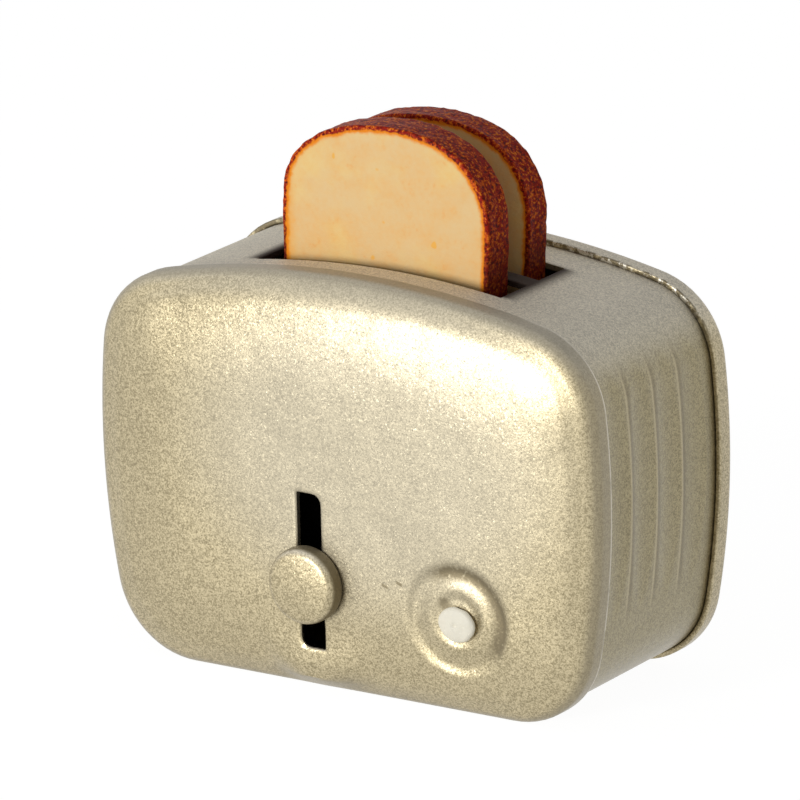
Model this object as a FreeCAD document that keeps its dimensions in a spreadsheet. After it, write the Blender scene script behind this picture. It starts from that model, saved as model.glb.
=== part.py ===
# Toy toaster, a pressed tin miniature with a sliding lever and two slices of toast.
# Millimetres, +Z up. The origin is on the surface it stands on, under the middle of its box,
# which runs from the knob's face to the back panel. The front, with the lever, faces -Y.
import FreeCAD
import Part
import Sketcher
import math
import os
from FreeCAD import Placement, Rotation, Vector

# Driving dimensions: name, size, what it is
DIMENSIONS = [
    ("body_depth", 27.4, "front face to back face of the casing"),
    ("body_shift", 1.0, "the casing's middle stands this far behind the origin"),
    ("widest_half", 27.0, "half width where the sides bulge most"),
    ("widest_height", 21.4, "height of that bulge"),
    ("side_arc", 80.0, "radius of the bulged sides"),
    ("crown_height", 39.2, "top of the crown"),
    ("crown_arc", 92.0, "radius of the crown"),
    ("corner_top", 8.3, "upper corner radius of the outline"),
    ("corner_base", 8.4, "lower corner radius of the outline"),
    ("panel_edge", 2.9, "rounded edge of the pressed panels"),
    ("panel_rim", 1.5, "straight rim behind that edge"),
    ("tin", 0.5, "sheet thickness"),
    ("rim_gap", 0.05, "gap between a panel's rim and the band inside it"),
    ("band_tuck", 1.2, "how far the band reaches under each rim"),
    ("flute_depth", 0.3, "depth of the side flutes at mid height"),
    ("flute_round", 7.0, "cross radius of a flute"),
    ("flute_arc", 120.0, "radius of a flute's floor, seen from the front"),
    ("flute_pitch", 4.35, "spacing of the flutes"),
    ("flute_shift", -0.75, "middle of the row of flutes, from the casing's middle"),
    ("flute_count", 4, "flutes on each side"),
    ("bread_slot_long", 26.2, "length of each toast slot"),
    ("bread_slot_wide", 4.5, "width of each toast slot"),
    ("bread_pitch", 6.4, "front slot's middle to back slot's middle"),
    ("return_gap", 22.0, "opening between the band's returns, underneath"),
    ("lever_side", -2.7, "middle of the lever slot, across"),
    ("lever_slot_low", 4.3, "bottom of the lever slot"),
    ("lever_slot_tall", 14.8, "height of the lever slot"),
    ("lever_slot_wide", 2.6, "width of the lever slot"),
    ("lever_slot_corner", 0.45, "corner radius of the lever slot"),
    ("lever_height", 10.65, "height of the stem at rest"),
    ("stem_round", 1.1, "stem radius"),
    ("stem_tail", 0.7, "radius of the stem's riveted tail"),
    ("tail_head", 1.2, "radius of the tail's head"),
    ("tail_cap", 0.4, "thickness of the tail's head"),
    ("knob_round", 3.6, "knob radius"),
    ("knob_thick", 1.95, "knob thickness"),
    ("knob_edge", 0.9, "rounded front edge of the knob"),
    ("knob_bore", 1.2, "depth of the blind bore in the knob"),
    ("play", 0.05, "running gap"),
    ("washer_round", 3.0, "friction washer radius"),
    ("washer_thick", 0.35, "friction washer thickness"),
    ("collar_round", 1.9, "stem collar radius"),
    ("collar_long", 0.75, "stem collar length"),
    ("dial_side", 13.0, "dial centre, across"),
    ("dial_height", 9.5, "dial centre, up"),
    ("dial_outer", 4.9, "outer radius of the dial's groove"),
    ("dial_inner", 3.3, "inner radius of the dial's groove"),
    ("dial_deep", 0.3, "depth of the groove"),
    ("bowl_round", 2.7, "radius of the bowl in the dial"),
    ("bowl_floor", 2.3, "radius of the bowl's flat floor"),
    ("bowl_deep", 0.2, "depth of that bowl"),
    ("dot_round", 1.85, "enamel dot radius"),
    ("dot_proud", 0.6, "enamel dot height"),
    ("dot_edge", 0.4, "rounded edge of the dot"),
    ("dot_drop", 0.35, "how far the dot sits below the dial's centre"),
    ("web_back", 4.5, "front face of the casing to the lift plate"),
    ("plate_wide", 10.0, "lift plate width"),
    ("plate_low", 7.2, "underside of the lift plate"),
    ("ear_long", 2.9, "how far the lift plate's ears reach back"),
    ("plate_bend", 0.9, "outside bend radius of the lift plate"),
    ("rod_round", 0.75, "guide rod radius"),
    ("rod_back", 6.3, "front face of the casing to the guide rod's middle"),
    ("rod_top", 36.0, "top of the guide rod"),
    ("rod_foot_round", 1.3, "radius of the rod's foot"),
    ("rod_foot_tall", 0.35, "thickness of the rod's foot"),
    ("bracket_wide", 7.0, "width of the rod bracket"),
    ("bracket_deep", 2.6, "depth of the rod bracket"),
    ("bracket_low", 34.9, "underside of the rod bracket"),
    ("tray_floor", 25.2, "top of the tray, where the toast stands"),
    ("tray_wide", 24.4, "length of the tray"),
    ("tray_half_deep", 6.2, "half depth of the tray"),
    ("tray_lip", 2.0, "height of the tray's lips"),
    ("ridge_wide", 1.9, "width of the ridge between the slices"),
    ("tongue_wide", 9.0, "width of the tongue on the lift plate's ear"),
    ("rivet_round", 0.5, "tray rivet radius"),
    ("rivet_head", 0.9, "tray rivet head radius"),
    ("rivet_cap", 0.3, "tray rivet head thickness"),
    ("rivet_pitch", 6.0, "tray rivet spacing"),
    ("foot_rivet_round", 0.7, "base rivet radius"),
    ("foot_rivet_head", 1.3, "base rivet head radius"),
    ("foot_rivet_cap", 0.3, "base rivet head thickness"),
    ("foot_rivet_side", 13.0, "base rivets, out from the middle"),
    ("foot_rivet_pitch", 14.0, "base rivets, front to back"),
    ("base_long", 30.0, "base plate length"),
    ("base_deep", 23.6, "base plate depth"),
    ("base_corner", 1.5, "corner radius of the base plate"),
    ("toast_side", 0.5, "middle of the slices, across"),
    ("toast_half", 11.25, "half width of a slice"),
    ("toast_thick", 3.9, "thickness of a slice"),
    ("toast_top", 51.85, "top of a slice"),
    ("toast_arc", 20.0, "radius of a slice's top"),
    ("toast_shoulder", 5.5, "radius of a slice's shoulders"),
    ("toast_foot", 1.2, "radius of a slice's lower corners"),
    ("toast_edge", 0.35, "rounded edge of the crust"),
]
NAMES = {name for name, start, note in DIMENSIONS}
CLOSE = 1e-4

document = FreeCAD.newDocument("ToyToaster")
sheet = document.addObject("Spreadsheet::Sheet", "Dims")
for row, (name, start, note) in enumerate(DIMENSIONS, start=1):
    sheet.set(f"A{row}", note)
    sheet.set(f"B{row}", str(start))
    sheet.setAlias(f"B{row}", name)
document.recompute()


# Formulas


def formula(text):
    """A formula in which each dimension's name points at the sheet."""
    words = text.replace("(", " ( ").replace(")", " ) ").split()
    return " ".join(f"Dims.{word}" if word in NAMES else word for word in words)


def worth(text):
    """What a formula comes to now."""
    return float(sheet.evalExpression(formula(text)))


def bind(thing, **formulas):
    """Bind properties of an object to formulas of the dimensions."""
    for name, text in formulas.items():
        thing.setExpression(name, formula(text))


def place(thing, across="0", back="0", up="0", turn=0.0):
    """Put a sub-part at a place bound to the dimensions, turned about Z."""
    thing.Placement = Placement(Vector(), Rotation(Vector(0, 0, 1), turn))
    for axis, text in (("x", across), ("y", back), ("z", up)):
        thing.setExpression(f".Placement.Base.{axis}", formula(text))


# Bodies, sketches and features


def new_body(label):
    """An empty body, labelled with its sub-part's name."""
    body = document.addObject("PartDesign::Body", label)
    body.Label = label
    return body


def new_sketch(body, plane, name, **offset):
    """A sketch on one of the body's own planes, offset by formulas."""
    sketch = body.newObject("Sketcher::SketchObject", name)
    origin = [o for o in body.Origin.OriginFeatures if o.Role == plane]
    sketch.AttachmentSupport = [(origin[0], "")]
    sketch.MapMode = "FlatFace"
    for axis, text in offset.items():
        sketch.setExpression(f".AttachmentOffset.Base.{axis}", formula(text))
    return sketch


def limit(sketch, text, kind, *where):
    """One dimension of a sketch, bound to a formula."""
    index = sketch.addConstraint(Sketcher.Constraint(kind, *where, worth(text)))
    sketch.setExpression(f"Constraints[{index}]", formula(text))


def polygon(sketch, corners):
    """A closed outline whose corners are pairs of formulas."""
    first = sketch.GeometryCount
    points = [Vector(worth(a), worth(b), 0) for a, b in corners]
    for here, there in zip(points, points[1:] + points[:1]):
        sketch.addGeometry(Part.LineSegment(here, there))
    for i, (a, b) in enumerate(corners):
        follower = first + (i + 1) % len(corners)
        sketch.addConstraint(Sketcher.Constraint("Coincident", first + i, 2, follower, 1))
        limit(sketch, a, "DistanceX", -1, 1, first + i, 1)
        limit(sketch, b, "DistanceY", -1, 1, first + i, 1)


def rectangle(sketch, left, right, low, high):
    """A rectangle between formulas."""
    polygon(sketch, [(left, low), (right, low), (right, high), (left, high)])


def circle(sketch, across, up, radius):
    """A circle about a point given by formulas."""
    middle = Vector(worth(across), worth(up), 0)
    ring = sketch.addGeometry(Part.Circle(middle, Vector(0, 0, 1), worth(radius)))
    limit(sketch, across, "DistanceX", -1, 1, ring, 3)
    limit(sketch, up, "DistanceY", -1, 1, ring, 3)
    limit(sketch, radius, "Radius", ring)


def casing_outline(sketch, inset):
    """The casing's outline before its corners are rounded, drawn in by a formula."""
    flat = Vector(0, 0, 1)
    middle = Vector(worth("widest_half - side_arc"), worth("widest_height"), 0)
    crown = Vector(0, worth("crown_height - crown_arc"), 0)
    side = Part.Circle(middle, flat, worth(f"side_arc - ( {inset} )"))
    arch = Part.Circle(crown, flat, worth(f"crown_arc - ( {inset} )"))
    shoulder = max(side.intersectCC(arch), key=lambda p: p.X)
    low = worth(inset)
    start = math.asin((low - middle.y) / side.Radius)
    end = math.asin((shoulder.Y - middle.y) / side.Radius)
    rise = math.asin((shoulder.Y - crown.y) / arch.Radius)
    foot = middle.x + side.Radius * math.cos(start)
    mirror = Part.Circle(Vector(-middle.x, middle.y, 0), flat, side.Radius)
    sketch.addGeometry(Part.LineSegment(Vector(-foot, low, 0), Vector(foot, low, 0)))
    sketch.addGeometry(Part.ArcOfCircle(side, start, end))
    sketch.addGeometry(Part.ArcOfCircle(arch, rise, math.pi - rise))
    sketch.addGeometry(Part.ArcOfCircle(mirror, math.pi - end, math.pi - start))
    for i in range(4):
        sketch.addConstraint(Sketcher.Constraint("Coincident", i, 2, (i + 1) % 4, 1))
    sketch.addConstraint(Sketcher.Constraint("Horizontal", 0))
    limit(sketch, inset, "DistanceY", -1, 1, 0, 1)
    limit(sketch, "widest_half - side_arc", "DistanceX", -1, 1, 1, 3)
    limit(sketch, "widest_height", "DistanceY", -1, 1, 1, 3)
    limit(sketch, f"side_arc - ( {inset} )", "Radius", 1)
    sketch.addConstraint(Sketcher.Constraint("Symmetric", 1, 3, 3, 3, -2))
    sketch.addConstraint(Sketcher.Constraint("Equal", 1, 3))
    sketch.addConstraint(Sketcher.Constraint("PointOnObject", 2, 3, -2))
    limit(sketch, "crown_height - crown_arc", "DistanceY", -1, 1, 2, 3)
    limit(sketch, f"crown_arc - ( {inset} )", "Radius", 2)


def slice_outline(sketch):
    """A slice of toast: straight foot and sides under an arched top."""
    flat = Vector(0, 0, 1)
    half = worth("toast_half")
    low = worth("tray_floor + play")
    crown = worth("toast_top - toast_arc")
    reach = worth("toast_arc")
    rise = math.acos(half / reach)
    arch = Part.Circle(Vector(0, crown, 0), flat, reach)
    shoulder = crown + reach * math.sin(rise)
    corners = [Vector(-half, low, 0), Vector(half, low, 0), Vector(half, shoulder, 0)]
    sketch.addGeometry(Part.LineSegment(corners[0], corners[1]))
    sketch.addGeometry(Part.LineSegment(corners[1], corners[2]))
    sketch.addGeometry(Part.ArcOfCircle(arch, rise, math.pi - rise))
    sketch.addGeometry(Part.LineSegment(Vector(-half, shoulder, 0), corners[0]))
    for i in range(4):
        sketch.addConstraint(Sketcher.Constraint("Coincident", i, 2, (i + 1) % 4, 1))
    sketch.addConstraint(Sketcher.Constraint("Horizontal", 0))
    sketch.addConstraint(Sketcher.Constraint("Vertical", 1))
    sketch.addConstraint(Sketcher.Constraint("Vertical", 3))
    limit(sketch, "tray_floor + play", "DistanceY", -1, 1, 0, 1)
    limit(sketch, "- toast_half", "DistanceX", -1, 1, 0, 1)
    limit(sketch, "toast_half", "DistanceX", -1, 1, 0, 2)
    sketch.addConstraint(Sketcher.Constraint("PointOnObject", 2, 3, -2))
    limit(sketch, "toast_top - toast_arc", "DistanceY", -1, 1, 2, 3)
    limit(sketch, "toast_arc", "Radius", 2)


def pad(body, sketch, name, length, **settings):
    """A pad of a sketch."""
    feature = body.newObject("PartDesign::Pad", name)
    feature.Profile = sketch
    for setting, choice in settings.items():
        setattr(feature, setting, choice)
    bind(feature, Length=length)
    document.recompute()
    return feature


def cut(body, sketch, name, length, **settings):
    """A pocket of a sketch, which has to take something away."""
    before = body.Shape.Volume
    feature = body.newObject("PartDesign::Pocket", name)
    feature.Profile = sketch
    for setting, choice in settings.items():
        setattr(feature, setting, choice)
    bind(feature, Length=length)
    document.recompute()
    must_shrink(body, before, name)
    return feature


def must_shrink(body, before, name):
    """Stop if a cut took nothing away."""
    if body.Shape.Volume > before - CLOSE:
        raise RuntimeError(f"{name} cuts nothing")


def spin(body, sketch, name, kind="PartDesign::Revolution"):
    """A sketch turned about its own upright axis."""
    before = body.Shape.Volume if body.Tip else 0.0
    feature = body.newObject(kind, name)
    feature.Profile = sketch
    feature.ReferenceAxis = (sketch, ["V_Axis"])
    feature.Angle = 360.0
    document.recompute()
    if kind == "PartDesign::Groove":
        must_shrink(body, before, name)
    return feature


def round_edges(body, base, name, radius, chosen):
    """Round the edges of a feature that a test picks."""
    edges = [f"Edge{i}" for i, e in enumerate(base.Shape.Edges, start=1) if chosen(e)]
    feature = body.newObject("PartDesign::Fillet", name)
    feature.Base = (base, edges)
    bind(feature, Radius=radius)
    document.recompute()
    return feature


def hollow(body, base, name, chosen):
    """Turn a block into a tin shell, open at the faces that a test picks."""
    faces = [f"Face{i}" for i, f in enumerate(base.Shape.Faces, start=1) if chosen(f)]
    feature = body.newObject("PartDesign::Thickness", name)
    feature.Base = (base, faces)
    feature.Mode = "Skin"
    feature.Join = "Arc"
    feature.Reversed = True
    bind(feature, Value="tin")
    document.recompute()
    return feature


# Tests for picking edges and faces


def runs_along(edge, axis):
    """Whether a straight edge runs along X, Y or Z, given as 0, 1 or 2."""
    if edge.Curve.TypeId != "Part::GeomLine":
        return False
    way = edge.Vertexes[-1].Point - edge.Vertexes[0].Point
    others = [way[i] for i in range(3) if i != axis]
    return max(abs(n) for n in others) < CLOSE


def lies_at(shape, axis, level):
    """Whether an edge or face lies flat at a level along an axis."""
    box = shape.BoundBox
    low = (box.XMin, box.YMin, box.ZMin)[axis]
    high = (box.XMax, box.YMax, box.ZMax)[axis]
    return abs(low - level) < CLOSE and abs(high - level) < CLOSE


# The pressed panels and the band between them

HALF = "( body_depth / 2 )"
BEND = "( panel_edge + panel_rim )"
PLATE_LEVEL = "( 2 * tin + rim_gap )"
FRONT = f"body_shift - {HALF}"
WEB = "( web_back + tin )"
EAR_TOP = "( tray_floor - tin )"


def rounded_block(body, name, inset, near, length):
    """The casing's outline as a block with round corners, from a level towards -Y."""
    sketch = new_sketch(body, "XZ_Plane", f"{name}_outline", z=near)
    casing_outline(sketch, inset)
    block = pad(body, sketch, f"{name}_block", length)
    half = worth("crown_height / 2")
    upper = round_edges(body, block, f"{name}_shoulders", f"corner_top - ( {inset} )",
                        lambda e: runs_along(e, 1) and e.BoundBox.ZMin > half)
    return round_edges(body, upper, f"{name}_corners", f"corner_base - ( {inset} )",
                       lambda e: runs_along(e, 1) and e.BoundBox.ZMax < worth(inset) + CLOSE)


def panel(label):
    """A dished panel with its face towards -Y."""
    body = new_body(label)
    block = rounded_block(body, label, "0", f"{HALF} - {BEND}", BEND)
    face = -worth(HALF)
    rounded = round_edges(body, block, f"{label}_edge", "panel_edge",
                          lambda e: lies_at(e, 1, face))
    rim = face + worth(BEND)
    hollow(body, rounded, f"{label}_shell", lambda f: lies_at(f, 1, rim))
    place(body, back="body_shift")
    return body


def front_panel():
    """The front panel, with the lever slot and the pressed dial."""
    body = panel("front_panel")
    slot = new_sketch(body, "XZ_Plane", "lever_slot_outline")
    rectangle(slot, "lever_side - lever_slot_wide / 2", "lever_side + lever_slot_wide / 2",
              "lever_slot_low", "lever_slot_low + lever_slot_tall")
    opening = cut(body, slot, "lever_slot", "body_depth", Reversed=True)
    left = worth("lever_side - lever_slot_wide")
    right = worth("lever_side + lever_slot_wide")
    round_edges(body, opening, "lever_slot_corners", "lever_slot_corner",
                lambda e: runs_along(e, 1) and left < e.BoundBox.XMin < right)
    pressed = (("dial_ridge", "PartDesign::Revolution", f"tin - {HALF}"),
               ("dial_groove", "PartDesign::Groove", f"- {HALF}"))
    for name, kind, level in pressed:
        ring = new_sketch(body, "XY_Plane", f"{name}_outline", x="dial_side", z="dial_height")
        third = "( dial_outer - dial_inner ) / 4"
        polygon(ring, [("dial_inner", level), (f"dial_inner + {third}", f"{level} + dial_deep"),
                       (f"dial_outer - {third}", f"{level} + dial_deep"), ("dial_outer", level)])
        spin(body, ring, name, kind)
    bowl = new_sketch(body, "XY_Plane", "dial_bowl_outline", x="dial_side", z="dial_height")
    polygon(bowl, [("0", f"- {HALF}"), ("bowl_round", f"- {HALF}"),
                   ("bowl_floor", f"bowl_deep - {HALF}"), ("0", f"bowl_deep - {HALF}")])
    spin(body, bowl, "dial_bowl", "PartDesign::Groove")


def back_panel():
    """The back panel, the same dish turned round."""
    body = panel("back_panel")
    place(body, back="body_shift", turn=180.0)


def body_band():
    """The band: a sleeve open underneath, with two toast slots and fluted sides."""
    body = new_body("body_band")
    inset = "tin + rim_gap"
    reach = f"( {HALF} - {BEND} + band_tuck )"
    block = rounded_block(body, "band", inset, f"- {reach}", f"2 * {reach}")
    end = worth(reach)
    sleeve = hollow(body, block, "band_sleeve",
                    lambda f: lies_at(f, 1, end) or lies_at(f, 1, -end))
    slots = new_sketch(body, "XY_Plane", "bread_slot_outline", z="crown_height")
    for middle in ("- bread_pitch / 2", "bread_pitch / 2"):
        rectangle(slots, "- bread_slot_long / 2", "bread_slot_long / 2",
                  f"{middle} - bread_slot_wide / 2", f"{middle} + bread_slot_wide / 2")
    cut(body, slots, "bread_slots", "crown_height / 2")
    opening = new_sketch(body, "XY_Plane", "return_outline", z="crown_height / 4")
    rectangle(opening, "- return_gap / 2", "return_gap / 2", "- body_depth", "body_depth")
    cut(body, opening, "return_opening", "crown_height / 2")
    holes = new_sketch(body, "XY_Plane", "return_holes", z="crown_height / 4")
    for across, back in foot_rivets():
        circle(holes, across, back, "foot_rivet_round")
    cut(body, holes, "return_drilling", "crown_height / 2")
    for name, side in (("right", ""), ("left", "-")):
        flute_row(body, name, f"{side} ( widest_half - {inset} - flute_depth - flute_arc )")
    place(body, back="body_shift")


def flute_row(body, name, across):
    """A row of shallow flutes up one side, which fade out at both ends."""
    before = body.Shape.Volume
    flute = body.newObject("PartDesign::SubtractiveTorus", f"flute_{name}")
    front = [o for o in body.Origin.OriginFeatures if o.Role == "XZ_Plane"]
    flute.AttachmentSupport = [(front[0], "")]
    flute.MapMode = "FlatFace"
    bind(flute, Radius1="flute_arc + flute_round", Radius2="flute_round")
    first = "( ( flute_count - 1 ) / 2 * flute_pitch - flute_shift )"
    for axis, text in (("x", across), ("y", "widest_height"), ("z", first)):
        flute.setExpression(f".AttachmentOffset.Base.{axis}", formula(text))
    document.recompute()
    row = body.newObject("PartDesign::LinearPattern", f"flutes_{name}")
    row.Originals = [flute]
    line = [o for o in body.Origin.OriginFeatures if o.Role == "Y_Axis"]
    row.Direction = (line[0], [""])
    bind(row, Length="( flute_count - 1 ) * flute_pitch", Occurrences="flute_count")
    body.Tip = row
    document.recompute()
    must_shrink(body, before, f"flutes_{name}")


def base_plate():
    """The plate that closes the underside, inside the band's returns."""
    body = new_body("base_plate")
    outline = new_sketch(body, "XY_Plane", "base_outline", z=PLATE_LEVEL)
    rectangle(outline, "- base_long / 2", "base_long / 2", "- base_deep / 2", "base_deep / 2")
    blank = pad(body, outline, "base_blank", "tin")
    round_edges(body, blank, "base_corners", "base_corner", lambda e: runs_along(e, 2))
    holes = new_sketch(body, "XY_Plane", "base_holes", z=f"{PLATE_LEVEL} + tin")
    circle(holes, "lever_side", f"rod_back - {HALF}", "rod_round")
    for across, back in foot_rivets():
        circle(holes, across, back, "foot_rivet_round")
    cut(body, holes, "base_drilling", "tin")
    place(body, back="body_shift")


def foot_rivets():
    """Where the base rivets stand, as formulas."""
    return [(f"{side} foot_rivet_side", f"{way} foot_rivet_pitch / 2")
            for side in ("-", "") for way in ("-", "")]


def rivets(label, radius, head, cap, low, high, spots):
    """Alike rivets with a head at each end, one solid at each spot."""
    solids = []
    for across, back in spots:
        foot = Vector(worth(across), worth(back), worth(low))
        grip = worth(f"{high} - ( {low} )")
        thick = worth(cap)
        shank = Part.makeCylinder(worth(radius), grip, foot)
        under = Part.makeCylinder(worth(head), thick, foot - Vector(0, 0, thick))
        over = Part.makeCylinder(worth(head), thick, foot + Vector(0, 0, grip))
        solids.append(shank.fuse([under, over]).removeSplitter())
    group = document.addObject("Part::Feature", label)
    group.Label = label
    group.Shape = Part.makeCompound(solids)
    return group


def turned(label, corners, height):
    """A piece turned about a line along Y, from a profile of radius and depth."""
    body = new_body(label)
    profile = new_sketch(body, "XY_Plane", f"{label}_profile")
    polygon(profile, corners)
    feature = spin(body, profile, f"{label}_turning")
    place(body, across="lever_side", back=FRONT, up=height)
    return body, feature


def dial_dot():
    """The enamel dot in the dial's bowl."""
    body, disc = turned("dial_dot", [
        ("0", "bowl_deep"), ("dot_round", "bowl_deep"),
        ("dot_round", "bowl_deep - dot_proud"), ("0", "bowl_deep - dot_proud")],
        "dial_height - dot_drop")
    face = worth("bowl_deep - dot_proud")
    round_edges(body, disc, "dot_rounding", "dot_edge", lambda e: lies_at(e, 1, face))
    place(body, across="dial_side", back=FRONT, up="dial_height - dot_drop")


def lever_knob():
    """The knob, with a blind bore for the stem."""
    near = "- play"
    far = "- play - knob_thick"
    floor = "- play - knob_bore"
    body, blank = turned("lever_knob", [
        ("0", far), ("knob_round", far), ("knob_round", near),
        ("stem_round", near), ("stem_round", floor), ("0", floor)], "lever_height")
    front = worth(far)
    rim = worth("knob_round") * 2 - CLOSE
    round_edges(body, blank, "knob_rounding", "knob_edge",
                lambda e: lies_at(e, 1, front) and e.BoundBox.XLength > rim)


def lever_train():
    """What is threaded on the lever's stem behind the knob."""
    turned("lever_stem", [
        ("0", "- play - knob_bore"), ("stem_round", "- play - knob_bore"),
        ("stem_round", "web_back"), ("stem_tail", "web_back"), ("stem_tail", WEB),
        ("tail_head", WEB), ("tail_head", f"{WEB} + tail_cap"), ("0", f"{WEB} + tail_cap")],
        "lever_height")
    inner = "stem_round + play"
    near = "tin + play"
    turned("friction_washer", [
        (inner, near), ("washer_round", near),
        ("washer_round", f"{near} + washer_thick"), (inner, f"{near} + washer_thick")],
        "lever_height")
    start = f"{near} + washer_thick + play"
    turned("stem_collar", [
        ("stem_round", start), ("collar_round", start),
        ("collar_round", f"{start} + collar_long"), ("stem_round", f"{start} + collar_long")],
        "lever_height")


def lift_plate():
    """The bent plate that the stem lifts, with an ear round the rod at each end."""
    body = new_body("lift_plate")
    strip = new_sketch(body, "YZ_Plane", "lift_strip", z="- plate_wide / 2")
    reach = f"{WEB} + ear_long"
    polygon(strip, [
        ("web_back", "plate_low"), (reach, "plate_low"), (reach, "plate_low + tin"),
        (WEB, "plate_low + tin"), (WEB, f"{EAR_TOP} - tin"), (reach, f"{EAR_TOP} - tin"),
        (reach, EAR_TOP), ("web_back", EAR_TOP)])
    bent = pad(body, strip, "lift_bend", "plate_wide")
    front = worth("web_back")
    outer = round_edges(body, bent, "lift_outer_bends", "plate_bend",
                        lambda e: runs_along(e, 0) and lies_at(e, 1, front))
    back = worth(WEB)
    round_edges(body, outer, "lift_inner_bends", "plate_bend - tin",
                lambda e: runs_along(e, 0) and lies_at(e, 1, back))
    stem = new_sketch(body, "XZ_Plane", "lift_stem_hole")
    circle(stem, "0", "lever_height", "stem_tail")
    cut(body, stem, "lift_stem_drilling", "rod_back")
    rod = new_sketch(body, "XY_Plane", "lift_rod_hole", z="tray_floor")
    circle(rod, "0", "rod_back", "rod_round + play")
    cut(body, rod, "lift_rod_drilling", "tray_floor")
    pins = new_sketch(body, "XY_Plane", "lift_rivet_holes", z="tray_floor")
    for way in ("-", ""):
        circle(pins, f"{way} rivet_pitch / 2", "rod_back", "rivet_round")
    cut(body, pins, "lift_rivet_drilling", "3 * tin")
    place(body, across="lever_side", back=FRONT)


def toast_tray():
    """The tray under both slices: two troughs and a tongue on the lift plate."""
    body = new_body("toast_tray")
    section = new_sketch(body, "YZ_Plane", "tray_section", z="toast_side - tray_wide / 2")
    low = EAR_TOP
    rim = "tray_floor + tray_lip"
    wall = "tray_half_deep - tin"
    polygon(section, [
        ("- tray_half_deep", low), ("tray_half_deep", low), ("tray_half_deep", rim),
        (wall, rim), (wall, "tray_floor"), ("ridge_wide / 2", "tray_floor"),
        ("ridge_wide / 2", rim), ("- ridge_wide / 2", rim), ("- ridge_wide / 2", "tray_floor"),
        (f"- ( {wall} )", "tray_floor"), (f"- ( {wall} )", rim), ("- tray_half_deep", rim)])
    pad(body, section, "tray_troughs", "tray_wide")
    tongue = new_sketch(body, "XY_Plane", "tray_tongue_outline", z=low)
    rectangle(tongue, "lever_side - tongue_wide / 2", "lever_side + tongue_wide / 2",
              f"web_back + tin - {HALF}", f"- ( {wall} )")
    pad(body, tongue, "tray_tongue", "tin")
    holes = new_sketch(body, "XY_Plane", "tray_holes", z="tray_floor")
    circle(holes, "lever_side", f"rod_back - {HALF}", "rod_round + play")
    for across, back in tray_rivet_spots():
        circle(holes, across, back, "rivet_round")
    cut(body, holes, "tray_drilling", "2 * tin")
    place(body, back="body_shift")


def tray_rivet_spots():
    """Where the tray's rivets stand, from the casing's middle, as formulas."""
    return [(f"lever_side {way} rivet_pitch / 2", f"rod_back - {HALF}") for way in ("-", "+")]


def guide_rod():
    """The upright rod that the lift plate slides on, with a foot under the base plate."""
    body = new_body("guide_rod")
    profile = new_sketch(body, "XZ_Plane", "rod_profile")
    foot = f"{PLATE_LEVEL} - rod_foot_tall"
    polygon(profile, [
        ("0", foot), ("rod_foot_round", foot), ("rod_foot_round", PLATE_LEVEL),
        ("rod_round", PLATE_LEVEL), ("rod_round", "rod_top"), ("0", "rod_top")])
    spin(body, profile, "rod_turning")
    place(body, across="lever_side", back=f"{FRONT} + rod_back")


def rod_bracket():
    """The bracket under the crown that holds the rod's top, trimmed to the band's inside."""
    strap = new_body("bracket_strap")
    outline = new_sketch(strap, "XZ_Plane", "bracket_outline", z="- bracket_deep / 2")
    side = "bracket_wide / 2"
    web = "bracket_low + tin"
    polygon(outline, [
        (f"- {side}", "bracket_low"), (side, "bracket_low"), (side, "crown_height"),
        (f"{side} - tin", "crown_height"), (f"{side} - tin", web), (f"tin - {side}", web),
        (f"tin - {side}", "crown_height"), (f"- {side}", "crown_height")])
    pad(strap, outline, "bracket_bend", "bracket_deep")
    hole = new_sketch(strap, "XY_Plane", "bracket_hole", z="crown_height")
    circle(hole, "0", "0", "rod_round")
    cut(strap, hole, "bracket_drilling", "crown_height / 2")
    place(strap, across="lever_side", back=f"{FRONT} + rod_back")
    inside = new_body("band_inside")
    reach = f"( {HALF} - {BEND} + band_tuck )"
    rounded_block(inside, "inside", PLATE_LEVEL, f"- {reach}", f"2 * {reach}")
    place(inside, back="body_shift")
    bracket = document.addObject("Part::Common", "rod_bracket")
    bracket.Label = "rod_bracket"
    bracket.Base = strap
    bracket.Tool = inside
    document.recompute()


def toast(label, middle):
    """One slice of toast, standing on the tray in its slot."""
    body = new_body(label)
    outline = new_sketch(body, "XZ_Plane", f"{label}_outline", z="- toast_thick / 2")
    slice_outline(outline)
    blank = pad(body, outline, f"{label}_blank", "toast_thick")
    half = worth("tray_floor + toast_top") / 2
    top = round_edges(body, blank, f"{label}_shoulders", "toast_shoulder",
                      lambda e: runs_along(e, 1) and e.BoundBox.ZMin > half)
    foot = round_edges(body, top, f"{label}_foot", "toast_foot",
                       lambda e: runs_along(e, 1) and e.BoundBox.ZMax < half)
    face = worth("toast_thick / 2")
    round_edges(body, foot, f"{label}_edges", "toast_edge",
                lambda e: lies_at(e, 1, face) or lies_at(e, 1, -face))
    place(body, across="toast_side", back=f"body_shift {middle} bread_pitch / 2")


# The whole toaster

front_panel()
back_panel()
body_band()
base_plate()
shifted = [(across, f"body_shift + ( {back} )") for across, back in foot_rivets()]
rivets("base_rivets", "foot_rivet_round", "foot_rivet_head", "foot_rivet_cap",
       "tin + rim_gap", f"{PLATE_LEVEL} + tin", shifted)
dial_dot()
guide_rod()
rod_bracket()
lever_knob()
lever_train()
lift_plate()
toast_tray()
shifted = [(across, f"body_shift + ( {back} )") for across, back in tray_rivet_spots()]
rivets("tray_rivets", "rivet_round", "rivet_head", "rivet_cap",
       f"{EAR_TOP} - tin", "tray_floor", shifted)
toast("toast_front", "-")
toast("toast_back", "+")
document.recompute()

SUBPARTS = [
    "front_panel", "back_panel", "body_band", "base_plate", "base_rivets", "dial_dot",
    "guide_rod", "rod_bracket", "lever_knob", "lever_stem", "friction_washer", "stem_collar",
    "lift_plate", "toast_tray", "tray_rivets", "toast_front", "toast_back",
]


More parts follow.
